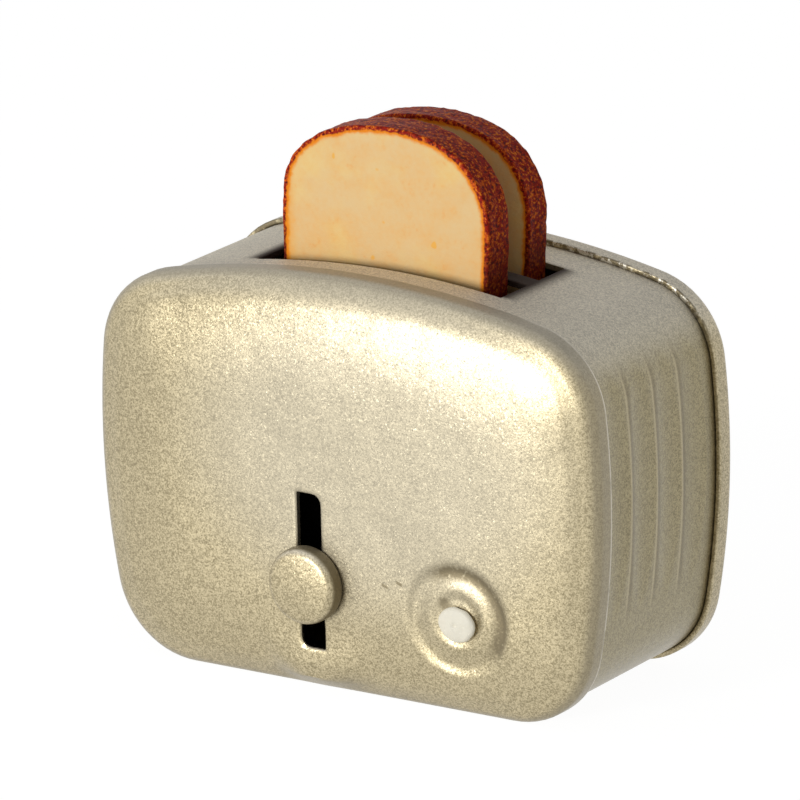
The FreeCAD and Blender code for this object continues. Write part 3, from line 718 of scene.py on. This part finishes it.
def outline(casing, inset, finer=1):
    """Points round the casing, drawn in by an inset, from the lower right corner's middle."""
    flank = Vector((casing.widest_half - casing.side_arc, casing.widest_height))
    dome = Vector((0.0, casing.crown_height - casing.crown_arc))
    upper = crossing(flank, casing.side_arc - casing.corner_top,
                     dome, casing.crown_arc - casing.corner_top)
    rise = casing.corner_base - flank.y
    reach = casing.side_arc - casing.corner_base
    lower = Vector((flank.x + math.sqrt(reach ** 2 - rise ** 2), casing.corner_base))
    bulge, bend, crest = heading(flank, lower), heading(flank, upper), heading(dome, upper)
    low_middle, high_middle = (bulge - QUARTER) / 2, (bend + crest) / 2
    count = casing.per_side * finer
    side = along([(lower, casing.corner_base - inset, low_middle, bulge),
                  (flank, casing.side_arc - inset, bulge, bend),
                  (upper, casing.corner_top - inset, bend, high_middle)], count)
    top = along([(upper, casing.corner_top - inset, high_middle, crest),
                 (dome, casing.crown_arc - inset, crest, QUARTER)], count // 2)
    foot = along([(lower, casing.corner_base - inset, low_middle, -QUARTER)], count // 2,
                 Vector((0.0, inset)))
    right = [Vector((0.0, inset))] + foot[:0:-1] + side + top
    crest_point = Vector((0.0, casing.crown_height - inset))
    return right + [crest_point] + [Vector((-p.x, p.y)) for p in right[:0:-1]]


def along(arcs, count, last=None):
    """Evenly spaced points along arcs, and along a line to a last point if there is one."""
    runs = []
    for centre, radius, begin, end in arcs:
        runs.append((radius * abs(end - begin),
                     lambda t, c=centre, r=radius, a=begin, b=end:
                     c + Vector((math.cos(a + (b - a) * t), math.sin(a + (b - a) * t))) * r))
    if last:
        corner = runs[-1][1](1.0)
        runs.append(((last - corner).length, lambda t: corner.lerp(last, t)))
    total = sum(size for size, point in runs)
    points = []
    for i in range(count):
        left = total * i / count
        for size, point in runs:
            if left <= size:
                points.append(point(left / size))
                break
            left -= size
    return points


def flats(casing, name, level, rim):
    """A panel's blank: its rounded edge and its rim, facing -Y."""
    piece = blank(name, outline(casing, 0.0), level + casing.edge)
    steps = 9
    for i in range(steps):
        here, there = QUARTER * i / steps, QUARTER * (i + 1) / steps
        bpy.ops.mesh.inset(thickness=casing.edge * (math.cos(here) - math.cos(there)),
                           depth=casing.edge * (math.sin(there) - math.sin(here)))
    pick("EDGE", at(level + casing.edge))
    for i in range(3):
        slide(back=rim / 3)
    return piece


def lattice(level, uprights, levels):
    """Cut a panel's flat face into cells along uprights and levels."""
    for axis, places in ((0, uprights), (2, levels)):
        for place in places:
            slice_at(axis, place, at(level))


def spread(begin, end, size, keep=(), room=0.0):
    """Even places between two ends, with fixed ones that the others stay clear of."""
    count = max(1, round((end - begin) / size))
    even = [begin + (end - begin) * i / count for i in range(1, count)]
    far = [p for p in even if all(abs(p - k) > room for k in keep)]
    return sorted(far + list(keep))


def sagging(casing, level):
    """How a panel's face falls back towards its outline, as a part of the full sag."""
    border = outline(casing, 0.0, 4)
    tree = KDTree(len(border))
    for i, point in enumerate(border):
        tree.insert((point.x, 0.0, point.y), i)
    tree.balance()
    middle = casing.crown_height / 2

    def part(x, y, z):
        inside = tree.find((x, 0.0, z))[2]
        fall = max(0.0, 1.0 - inside / casing.sag_reach) ** 2.4
        round_off = (x / casing.widest_half) ** 2 + 0.4 * ((z - middle) / middle) ** 2
        fall += casing.crown / casing.sag * min(round_off, 1.4) / 1.4
        return min(fall, 1.0) * max(0.0, 1.0 - max(0.0, y - level) / casing.edge)
    return part


def held_flat(casing, fit, level, part):
    """Less sag where the lever's washer slides behind the sheet, and none on its inner face."""
    middle, half = (fit.slot_left + fit.slot_right) / 2, (fit.slot_right - fit.slot_left) / 2

    def held(x, y, z):
        away = math.hypot(x - middle, max(fit.slot_low + half - z, 0.0,
                                          z - fit.slot_high + half))
        near = 1.0 - step(away, 3.5 * MM, 6.5 * MM)
        full = part(x, y, z)
        most = 0.0 if y > level + casing.tin / 2 else 0.28 * MM / casing.sag
        return full - near * max(0.0, full - most)
    return held


def ride(piece, body, *nodes, slot):
    """Seat a finished piece on its body, in place of its CAD nodes."""
    free_hands()
    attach(piece, body)
    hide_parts(*nodes)


def slot_corner(fit, right, high):
    """The radius of a corner of the lever slot: two of them are round and two sharp."""
    return fit.slot_corner if right == high else fit.slot_nick


def slot_distance(fit, x, z):
    """How far a point of the face lies outside the lever slot."""
    right = x > (fit.slot_left + fit.slot_right) / 2
    high = z > (fit.slot_low + fit.slot_high) / 2
    size = slot_corner(fit, right, high)
    across = x - fit.slot_right if right else fit.slot_left - x
    up = z - fit.slot_high if high else fit.slot_low - z
    return math.hypot(max(across + size, 0.0), max(up + size, 0.0)) - size


def thicken(piece, casing, level):
    """Give a panel the tin's thickness, and soften its rim's edges as the paint does."""
    finish_with(piece, "SOLIDIFY", thickness=casing.tin, offset=-1.0,
                use_even_offset=True, material_offset=1)
    work_on(piece)
    pick("EDGE", at(level))
    bpy.ops.mesh.bevel(offset=casing.tin * 0.24, segments=3, affect="EDGES")
    free_hands()


class TOASTER_OT_front_panel(bpy.types.Operator):
    """Press the front panel, with the lever slot and the dial"""
    bl_idname = "toaster.front_panel"
    bl_label = "Front panel"

    def execute(self, context):
        scene = context.scene
        casing, fit, tint = scene.toaster_casing, scene.toaster_fittings, scene.toaster_colours
        level = PANEL_LOW.y
        piece = flats(casing, "painted_front", level, PANEL_HIGH.y - level - casing.edge)
        on_face = at(level)
        lips = [0.0, 0.08 * MM, 0.18 * MM, 0.3 * MM, 0.45 * MM]
        cuts = [-lip for lip in lips] + [fit.slot_corner * p for p in (0.13, 0.3, 0.6, 1.0)]
        uprights = [place for d in cuts for place in (fit.slot_left + d, fit.slot_right - d)]
        levels = [place for d in cuts for place in (fit.slot_low + d, fit.slot_high - d)]
        wide, room = casing.widest_half, 0.45 * MM
        lattice(level, spread(-wide, wide, 0.85 * MM, uprights, room),
                spread(0.0, casing.crown_height, 0.8 * MM, levels, room))
        around = fit.groove_end + 0.9 * MM
        pick("FACE", lambda x, y, z: on_face(x, y, z)
             and math.hypot(x - fit.dial_side, z - fit.dial_height) < around)
        bpy.ops.mesh.subdivide(number_cuts=4)
        pick("FACE", lambda x, y, z: on_face(x, y, z)
             and fit.slot_left < x < fit.slot_right and fit.slot_low < z < fit.slot_high)
        bpy.ops.mesh.delete(type="FACE")
        self.round_corners(piece, fit, level)
        thicken(piece, casing, PANEL_HIGH.y)
        press(piece, "Y", casing.sag,
              held_flat(casing, fit, level, sagging(casing, level)))
        press(piece, "Y", fit.groove_deep, lambda x, y, z: self.dial(fit, level, x, y, z))
        press(piece, "Y", casing.lip, lambda x, y, z: self.curl(fit, level, x, y, z))
        paint(piece, champagne_paint(tint, "champagne_front", tint.champagne, tint.olive,
                                     front_highlight, rolled_edge_shade, rim_line, nicks, groove_shade,
                                     dial_dark_spot), shaded_inside(tint))
        smooth(piece)
        ride(piece, "casing", "front_panel", slot="champagne_paint")
        return {"FINISHED"}

    @staticmethod
    def round_corners(piece, fit, level):
        """Draw the lever slot's corners onto arcs."""
        mesh = bmesh.from_edit_mesh(piece.data)
        for side, way, right in ((fit.slot_left, 1.0, False), (fit.slot_right, -1.0, True)):
            for end, lift, high in ((fit.slot_low, 1.0, False), (fit.slot_high, -1.0, True)):
                size = slot_corner(fit, right, high)
                hub = Vector((side + way * size, level, end + lift * size))
                for vertex in mesh.verts:
                    away = vertex.co - hub
                    beyond = away.x * way < NEAR and away.z * lift < NEAR
                    edge = min(abs(vertex.co.x - side), abs(vertex.co.z - end)) < NEAR
                    inside = max(abs(away.x), abs(away.z)) < size + NEAR
                    if abs(away.y) < NEAR and beyond and edge and inside:
                        vertex.co = hub + away.normalized() * size
        bmesh.update_edit_mesh(piece.data)

    @staticmethod
    def dial(fit, level, x, y, z):
        """The dial's groove, ring, bowl and seat, as a part of the groove's depth."""
        far = math.hypot(x - fit.dial_side, z - fit.dial_height)
        if y > level + fit.fitting_deep or far > fit.groove_end:
            return 0.0
        rings = [(0.0, fit.seat_deep), (fit.seat, fit.seat_deep), (fit.bowl, fit.bowl_deep),
                 (fit.ring, fit.ring_deep), (fit.groove, fit.groove_deep),
                 (fit.groove_end, 0.0)]
        for (inner, begin), (outer, end) in zip(rings, rings[1:]):
            if far <= outer:
                return (begin + (end - begin) * step(far, inner, outer)) / fit.groove_deep
        return 0.0

    @staticmethod
    def curl(fit, level, x, y, z):
        """The curl of the tin at the lever slot."""
        if y > level + fit.fitting_deep:
            return 0.0
        near = 1.0 - slot_distance(fit, x, z) / fit.lip_reach
        if near <= 0.0:
            return 0.0
        return 1.0 - math.sqrt(max(0.0, 1.0 - min(near, 1.0) ** 2))


class TOASTER_OT_back_panel(bpy.types.Operator):
    """Press the plain back panel, with its chipped upper rim"""
    bl_idname = "toaster.back_panel"
    bl_label = "Back panel"

    def execute(self, context):
        casing, tint = context.scene.toaster_casing, context.scene.toaster_colours
        level = -BACK_HIGH.y
        piece = flats(casing, "painted_back", level, BACK_HIGH.y - BACK_LOW.y - casing.edge)
        wide = casing.widest_half
        lattice(level, spread(-wide, wide, 1.3 * MM),
                spread(0.0, casing.crown_height, 1.2 * MM))
        thicken(piece, casing, -BACK_LOW.y)
        press(piece, "Y", casing.sag, sagging(casing, level))
        work_on(piece)
        bpy.ops.mesh.select_all(action="SELECT")
        bpy.ops.transform.mirror(constraint_axis=(False, True, False),
                                 center_override=(0.0, 0.0, 0.0))
        bpy.ops.mesh.flip_normals()
        paint(piece, champagne_paint(tint, "champagne_back", tint.champagne, tint.olive,
                                     thin_rim, chipped_rim), shaded_inside(tint))
        smooth(piece)
        ride(piece, "casing", "back_panel", slot="champagne_paint")
        return {"FINISHED"}


class TOASTER_OT_band(bpy.types.Operator):
    """Bend the band round, with its two toast slots and its fluted sides"""
    bl_idname = "toaster.band"
    bl_label = "Fluted band"

    def execute(self, context):
        scene = context.scene
        casing, cut, tint = scene.toaster_casing, scene.toaster_slots, scene.toaster_colours
        stations = self.stations(casing)
        piece = blank("painted_band", outline(casing, casing.tin + casing.tuck), stations[0])
        bpy.ops.mesh.delete(type="ONLY_FACE")
        pick("EDGE", lambda x, y, z: True)
        for here, there in zip(stations, stations[1:]):
            slide(back=there - here)
        face_out()
        self.cut_slots(cut, casing)
        finish_with(piece, "SOLIDIFY", thickness=casing.tin, offset=-1.0, material_offset=1)
        for side in (1.0, -1.0):
            press(piece, "X", -side * casing.flute_deep, lambda x, y, z: self.flute(
                casing, y, z) if x * side > casing.flank else 0.0)
        self.round_slots(piece, cut, casing.shoulder)
        # The band takes the darker copy of the front's paint: painted shade on its sides
        paint(piece, champagne_paint(tint, "champagne_band", tint.pale, tint.dusk, slot_shade,
                                     rib_shade, rib_highlight, filled_seam), shaded_inside(tint))
        smooth(piece)
        ride(piece, "casing", "body_band", slot="champagne_paint")
        return {"FINISHED"}

    @staticmethod
    def stations(casing):
        """Where the band's rings lie along Y: close together at the ribs between flutes."""
        gaps = [g * MM for g in (0.0, 0.06, 0.14, 0.27, 0.46, 0.74, 1.1, 1.45, 1.8)]
        pitch = casing.flute_pitch
        found = {BAND_LOW.y, BAND_HIGH.y}
        for i in range(5):
            rib = casing.flute_first + pitch * (i - 0.5)
            found |= {rib + pitch / 2, *(rib + g for g in gaps), *(rib - g for g in gaps)}
        inside = sorted(y for y in found if BAND_LOW.y <= y <= BAND_HIGH.y)
        rows = inside[:1]
        for y in inside[1:]:
            if y - rows[-1] > 0.04 * MM:
                rows.append(y)
        rows[-1] = BAND_HIGH.y
        return rows

    @staticmethod
    def flute(casing, y, z):
        """The flutes' depth at a place, as a part of the full depth."""
        deep = 0.0
        for i in range(4):
            off = y - casing.flute_first - casing.flute_pitch * i
            fade = (z - casing.widest_height) ** 2 / casing.flute_run
            deep = max(deep, casing.flute_deep - fade - off ** 2 / (2 * casing.flute_round))
        return deep / casing.flute_deep

    @staticmethod
    def cut_slots(cut, casing):
        """Cut both toast slots, and the opening underneath."""
        def top(x, y, z):
            return z > casing.shoulder
        fine = 0.1 * MM
        for side in (-cut.slot_half, cut.slot_half):
            for off in (-cut.curl, -fine, 0.0, fine, cut.curl):
                slice_at(0, side + off, top)
        edges = (cut.front_near, cut.front_far, cut.back_near, cut.back_far)
        for edge in edges:
            for off in (-fine, 0.0, fine):
                slice_at(1, edge + off, top)
        for near, far in (edges[:2], edges[2:]):
            pick("FACE", lambda x, y, z: top(x, y, z) and abs(x) < cut.slot_half
                 and near < y < far)
            bpy.ops.mesh.delete(type="FACE")
        half = casing.foot_half
        for side in (-half, half):
            slice_at(0, side, lambda x, y, z: z < casing.foot)
        pick("FACE", lambda x, y, z: z < casing.foot and abs(x) < half)
        bpy.ops.mesh.delete(type="FACE")

    @staticmethod
    def round_slots(piece, cut, shoulder):
        """Curl the tin in a little round both toast slots."""
        def curl(x, y, z):
            if z < shoulder:
                return 0.0
            best = 1.0
            for near, far in ((cut.front_near, cut.front_far), (cut.back_near, cut.back_far)):
                out = math.hypot(max(abs(x) - cut.slot_half, 0.0), max(near - y, y - far, 0.0))
                best = min(best, out / cut.curl)
            return 1.0 - math.sqrt(max(0.0, 1.0 - (1.0 - best) ** 2))
        press(piece, "Z", -cut.curl_deep, curl)


# Turned pieces


def turned(name, middle, profile, steps):
    """A closed piece turned about a line along Y, from its radii and depths."""
    free_hands()
    bpy.ops.mesh.primitive_plane_add(size=MM, location=(0.0, 0.0, 0.0))
    piece = named(name)
    work_on(piece)
    bpy.ops.mesh.select_mode(type="VERT")
    bpy.ops.mesh.select_all(action="SELECT")
    bpy.ops.mesh.merge(type="CENTER")
    radius, depth = profile[0]
    bpy.ops.transform.translate(value=(middle.x + radius, depth, middle.z))
    for (radius, depth), (wider, deeper) in zip(profile, profile[1:]):
        slide(across=wider - radius, back=deeper - depth)
    bpy.ops.mesh.select_all(action="SELECT")
    bpy.ops.mesh.spin(steps=steps, angle=math.tau, center=(middle.x, 0.0, middle.z),
                      axis=(0.0, 1.0, 0.0))
    bpy.ops.mesh.select_all(action="SELECT")
    bpy.ops.mesh.remove_doubles(threshold=NEAR)
    face_out()
    free_hands()
    return piece


class TOASTER_OT_knob(bpy.types.Operator):
    """Turn the lever's knob, with its soft rounded edge"""
    bl_idname = "toaster.knob"
    bl_label = "Lever knob"

    def execute(self, context):
        fit, tint = context.scene.toaster_fittings, context.scene.toaster_colours
        radius, back, front, edge = KNOB_RADIUS, KNOB_HIGH.y, KNOB_LOW.y, fit.knob_edge
        foot, rest = 0.18 * MM, radius - edge
        profile = [(0.0, back), (1.6 * MM, back), (radius - foot, back)]
        profile += [(radius - foot * (1 - math.sin(a)), back - foot * (1 - math.cos(a)))
                    for a in (QUARTER * i / 4 for i in range(1, 5))]
        brow = front + fit.knob_dome
        profile += [(radius, (back + brow + edge) / 2)]
        lean = math.atan(2 * fit.knob_dome / rest)
        profile += [(rest + edge * math.cos(a), brow + edge * (1.0 - math.sin(a)))
                    for a in ((QUARTER - lean) * i / 9 for i in range(10))]
        inner = rest + edge * math.sin(lean)
        rise = brow + edge * (1.0 - math.cos(lean)) - front
        profile += [(inner * part, front + rise * part ** 2)
                    for part in (0.92, 0.8, 0.66, 0.5, 0.33, 0.16, 0.0)]
        piece = turned("painted_knob", KNOB_MIDDLE, profile, 72)
        paint(piece, champagne_paint(tint, "champagne_knob", tint.champagne, tint.olive,
                                     knob_side_shade, knob_scuffs))
        smooth(piece, 50.0)
        ride(piece, "carriage", "lever_knob", slot="champagne_paint")
        return {"FINISHED"}


class TOASTER_OT_dot(bpy.types.Operator):
    """Drop the uneven enamel dot into the dial's bowl"""
    bl_idname = "toaster.dot"
    bl_label = "Enamel dot"

    def execute(self, context):
        tint = context.scene.toaster_colours
        middle = (DOT_LOW + DOT_HIGH) / 2
        radius = (DOT_HIGH.x - DOT_LOW.x) / 2 * 0.92
        back, front = DOT_HIGH.y, DOT_LOW.y + 0.05 * MM
        tall = back - front
        profile = [(0.0, back), (radius * 0.9, back)]
        profile += [(radius * math.cos(a) ** 0.55, back - tall * math.sin(a) ** 0.8)
                    for a in (QUARTER * i / 12 for i in range(1, 12))]
        profile += [(radius * 0.12, front), (radius * 0.05, front + 0.12 * MM),
                    (0.0, front + 0.14 * MM)]
        piece = turned("enamel_dot", middle, profile, 56)
        work_on(piece)
        bpy.ops.mesh.select_all(action="SELECT")
        bpy.ops.transform.resize(value=(1.16, 1.0, 0.99), center_override=middle)
        lumps = bpy.data.textures.new("enamel_lumps", "CLOUDS")
        lumps.noise_scale = 1.1 * MM
        finish_with(piece, "DISPLACE", texture=lumps, texture_coords="LOCAL",
                    strength=0.26 * MM, mid_level=0.5)
        paint(piece, white_enamel(tint))
        smooth(piece, 60.0)
        ride(piece, "casing", "dial_dot", slot="white_enamel")
        return {"FINISHED"}


# Toast

# A slice's outline from lower left to lower right: x and z in millimetres
SLICE = ((-7.6, 25.3), (-8.7, 25.5), (-9.6, 26.1), (-10.2, 27.0), (-10.45, 28.2),
         (-10.6, 33.0), (-10.7, 38.0), (-10.65, 43.0), (-10.35, 45.8), (-9.5, 47.7),
         (-8.0, 49.3), (-5.7, 50.6), (-2.4, 51.5), (1.6, 51.75), (5.4, 51.2), (8.4, 49.8),
         (10.4, 47.6), (11.4, 45.2), (11.6, 42.6), (11.35, 38.0), (11.2, 33.0),
         (11.05, 28.2), (10.8, 27.0), (10.2, 26.1), (9.3, 25.5), (8.2, 25.3))


def flowing(points, count):
    """Even points along a smooth line through others."""
    fine = []
    for i in range(len(points) - 1):
        before, here = points[max(i - 1, 0)], points[i]
        there, after = points[i + 1], points[min(i + 2, len(points) - 1)]
        for j in range(12):
            t = j / 12
            fine.append(0.5 * (2 * here + (there - before) * t
                               + (2 * before - 5 * here + 4 * there - after) * t ** 2
                               + (3 * here - before - 3 * there + after) * t ** 3))
    fine.append(points[-1])
    lengths = [0.0]
    for here, there in zip(fine, fine[1:]):
        lengths.append(lengths[-1] + (there - here).length)
    even, j = [], 0
    for i in range(count):
        goal = lengths[-1] * i / (count - 1)
        while lengths[j + 1] < goal - 1e-12:
            j += 1
        t = (goal - lengths[j]) / (lengths[j + 1] - lengths[j])
        even.append(fine[j].lerp(fine[j + 1], t))
    return even


def slice_of_toast(context, name, node, tall, thin):
    """One slice: an arched block with softened edges, a pitted crust and a smooth face.

    It is tall times the outline's height, and its front face stands back by thin."""
    cut, tint = context.scene.toaster_slots, context.scene.toaster_colours
    low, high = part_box(node)
    low = low + Vector((0.0, thin, 0.0))
    shape = [Vector((x * MM, low.z + (z * MM - low.z) * tall)) for x, z in SLICE]
    arch = flowing(shape, 170)
    foot = [arch[-1].lerp(arch[0], i / 30) for i in range(1, 30)]
    piece = blank(name, (arch + foot)[::-1], low.y)
    steps = 12
    pick("EDGE", lambda x, y, z: True)
    for i in range(steps):
        slide(back=(high.y - low.y) / steps)
    pick("EDGE", at(high.y))
    bpy.ops.mesh.edge_face_add()
    face_out()
    for level in (low.y, high.y):
        pick("EDGE", at(level))
        bpy.ops.mesh.bevel(offset=cut.soft, segments=3, affect="EDGES")
    for level in (low.y, high.y):
        on_face = at(level)
        for size in (0.2, 0.25, 0.3, 0.4, 0.5):
            pick("FACE", lambda x, y, z: on_face(x, y, z) and near_middle(x, z))
            bpy.ops.mesh.inset(thickness=size * MM)
        for axis, begin, end in ((0, -12.0, 12.0), (2, 25.0, 52.0)):
            for place in spread(begin * MM, end * MM, 0.9 * MM):
                slice_at(axis, place,
                         lambda x, y, z: on_face(x, y, z) and deep_in(x, z, arch))
    free_hands()
    reach = [rim_part(v.co, arch, low.y, high.y, cut.crust) for v in piece.data.vertices]
    lumps = bpy.data.textures.new("crust_lumps", "CLOUDS")
    lumps.noise_scale = 0.9 * MM
    lumps.noise_depth = 3
    group = piece.vertex_groups.new(name="rind")
    for vertex, amount in zip(piece.data.vertices, reach):
        group.add([vertex.index], 0.15 + 0.85 * step(amount, 0.3, 1.0), "REPLACE")
    finish_with(piece, "DISPLACE", texture=lumps, texture_coords="LOCAL",
                vertex_group="rind", strength=cut.lumps, mid_level=0.62)
    piece.vertex_groups.clear()
    crust = piece.data.attributes.new("crust", "FLOAT", "POINT")
    crust.data.foreach_set("value", reach)
    paint(piece, painted_toast(tint))
    smooth(piece, 50.0)
    return piece


def near_middle(x, z):
    """Whether a face's middle is in the middle of a slice, as only its largest face's is."""
    return math.hypot(x - 0.4 * MM, z - 38.5 * MM) < 3.0 * MM


def deep_in(x, z, arch):
    """Whether a place lies well inside a slice's outline."""
    return min(math.hypot(x - p.x, z - p.y) for p in arch[::5]) > 1.2 * MM


def rim_part(place, arch, near, far, crust):
    """1 on a slice's crust, falling to 0 at the crust's reach onto the face."""
    inner = min(place.y - near, far - place.y)
    if inner > 0.05 * MM:
        return 1.0
    away = min(math.hypot(place.x - p.x, place.z - p.y) for p in arch)
    return max(0.0, 1.0 - away / crust)


class TOASTER_OT_toast(bpy.types.Operator):
    """Stand the two slices of toast in their slots"""
    bl_idname = "toaster.toast"
    bl_label = "Two slices"

    def execute(self, context):
        front = slice_of_toast(context, "front_slice_painted", "toast_front", 1.0, 0.3 * MM)
        ride(front, "front_slice", "toast_front", slot="painted_toast")
        back = slice_of_toast(context, "back_slice_painted", "toast_back", 0.98, 0.75 * MM)
        ride(back, "back_slice", "toast_back", slot="painted_toast")
        return {"FINISHED"}


class TOASTER_OT_metalwork(bpy.types.Operator):
    """Finish the base plate and the metal parts inside"""
    bl_idname = "toaster.metalwork"
    bl_label = "Metalwork"

    def execute(self, context):
        tint = context.scene.toaster_colours
        steel = rolled_steel("bare_steel", tint.bare)
        black = rolled_steel("blackened_steel", tint.black)
        for name in ("base_plate", "base_rivets", "guide_rod", "rod_bracket", "lever_stem",
                     "friction_washer", "stem_collar", "tray_rivets"):
            paint(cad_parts[name], steel)
        for name in ("lift_plate", "toast_tray"):
            paint(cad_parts[name], black)
        return {"FINISHED"}


# Studio


def seen_white(finish):
    """1 for the rays that see the background: the camera's, and those off metal or glass."""
    rays = finish.node("ShaderNodeLightPath").socket.node
    seen = Wire(finish, rays.outputs["Is Camera Ray"])
    for name in ("Is Glossy Ray", "Is Transmission Ray"):
        seen = seen.maths("MAXIMUM", seen, Wire(finish, rays.outputs[name]))
    return seen


class TOASTER_OT_studio(bpy.types.Operator):
    """Lay the floor, hang the lamp and set the camera"""
    bl_idname = "toaster.studio"
    bl_label = "Studio"

    def execute(self, context):
        self.floor()
        self.sky(context.scene)
        self.lamp(context.scene)
        self.camera(context.scene)
        context.scene.view_settings.view_transform = "Standard"
        return {"FINISHED"}

    @staticmethod
    def floor():
        """A wide white floor that shows white and keeps the shadow."""
        free_hands()
        bpy.ops.mesh.primitive_plane_add(size=6.0, location=(0.0, 0.0, 0.0))
        ground = bpy.context.object
        ground.name = "floor"
        f = Finish(bpy.data.materials.new("floor_white"))
        diffuse = f.node("ShaderNodeBsdfDiffuse", {"Color": (0.85, 0.85, 0.85, 1.0)})
        glow = f.node("ShaderNodeEmission", {"Color": (1.0, 1.0, 1.0, 1.0), "Strength": 1.12})
        f.output(f.node("ShaderNodeMixShader", {0: seen_white(f) * 0.85, 1: diffuse, 2: glow}))
        paint(ground, f.owner)

    @staticmethod
    def sky(scene):
        """A soft even sky that the camera and the metal see as white."""
        scene.world = bpy.data.worlds.new("studio")
        f = Finish(scene.world)
        white = f.node("ShaderNodeBackground", {"Color": (1.0, 1.0, 1.0, 1.0), "Strength": 1.0})
        soft = f.node("ShaderNodeBackground", {"Color": (1.0, 1.0, 1.0, 1.0), "Strength": 0.34})
        f.output(f.node("ShaderNodeMixShader", {0: seen_white(f), 1: soft, 2: white}),
                 "ShaderNodeOutputWorld")

    @staticmethod
    def lamp(scene):
        """A soft lamp in front and to the left, that looks at the toaster."""
        studio = scene.toaster_studio
        data = bpy.data.lights.new("key_lamp", "AREA")
        data.shape = "RECTANGLE"
        data.size, data.size_y = studio.lamp_wide, studio.lamp_tall
        data.energy = studio.power
        thing = bpy.data.objects.new("key_lamp", data)
        scene.collection.objects.link(thing)
        thing.location = studio.lamp
        thing.rotation_mode = "QUATERNION"
        thing.rotation_quaternion = (studio.aim - studio.lamp).to_track_quat("-Z", "Y")

    @staticmethod
    def camera(scene):
        """The camera at the photograph's angle."""
        studio = scene.toaster_studio
        turn, rise = studio.azimuth, studio.elevation
        back = Vector((math.sin(turn) * math.cos(rise), -math.cos(turn) * math.cos(rise),
                       math.sin(rise)))
        right = Vector((math.cos(turn), math.sin(turn), 0.0))
        up = back.cross(right)
        c, s = math.cos(studio.roll), math.sin(studio.roll)
        rows = Matrix((right * c + up * s, up * c - right * s, back)).transposed()
        data = bpy.data.cameras.new("photo_camera")
        data.lens = studio.lens
        data.clip_start, data.clip_end = 0.01, 20.0
        thing = bpy.data.objects.new("photo_camera", data)
        scene.collection.objects.link(thing)
        thing.matrix_world = Matrix.Translation(studio.camera) @ rows.to_4x4()
        scene.camera = thing


GROUPS = {"toaster_casing": ToasterCasing, "toaster_fittings": ToasterFittings,
          "toaster_slots": ToasterSlots, "toaster_colours": ToasterColours,
          "toaster_studio": ToasterStudio}
OPERATORS = (TOASTER_OT_front_panel, TOASTER_OT_back_panel, TOASTER_OT_band, TOASTER_OT_knob,
             TOASTER_OT_dot, TOASTER_OT_toast, TOASTER_OT_metalwork, TOASTER_OT_studio)


class TOASTER_PT_pieces(bpy.types.Panel):
    """Lists the toaster's pieces and sizes"""
    bl_idname = "TOASTER_PT_pieces"
    bl_label = "Toy toaster"
    bl_space_type = "VIEW_3D"
    bl_region_type = "UI"
    bl_category = "Toaster"

    def draw(self, context):
        for made in OPERATORS:
            self.layout.operator(made.bl_idname)
        for name, group in GROUPS.items():
            box = self.layout.box()
            for field in group.__annotations__:
                box.prop(getattr(context.scene, name), field)


def register():
    """Register every class and hang the sizes on the scene."""
    for name, group in GROUPS.items():
        bpy.utils.register_class(group)
        setattr(bpy.types.Scene, name, PointerProperty(type=group))
    for made in (*OPERATORS, TOASTER_PT_pieces):
        bpy.utils.register_class(made)


def unregister():
    """Take everything that register added away again."""
    for made in (TOASTER_PT_pieces, *reversed(OPERATORS)):
        bpy.utils.unregister_class(made)
    for name, group in reversed(GROUPS.items()):
        delattr(bpy.types.Scene, name)
        bpy.utils.unregister_class(group)


def main():
    """Hang the sizes on the scene, then build every piece in order."""
    register()
    bpy.ops.toaster.front_panel()
    bpy.ops.toaster.back_panel()
    bpy.ops.toaster.band()
    bpy.ops.toaster.knob()
    bpy.ops.toaster.dot()
    bpy.ops.toaster.toast()
    bpy.ops.toaster.metalwork()
    bpy.ops.toaster.studio()


if __name__ == "__main__":
    main()
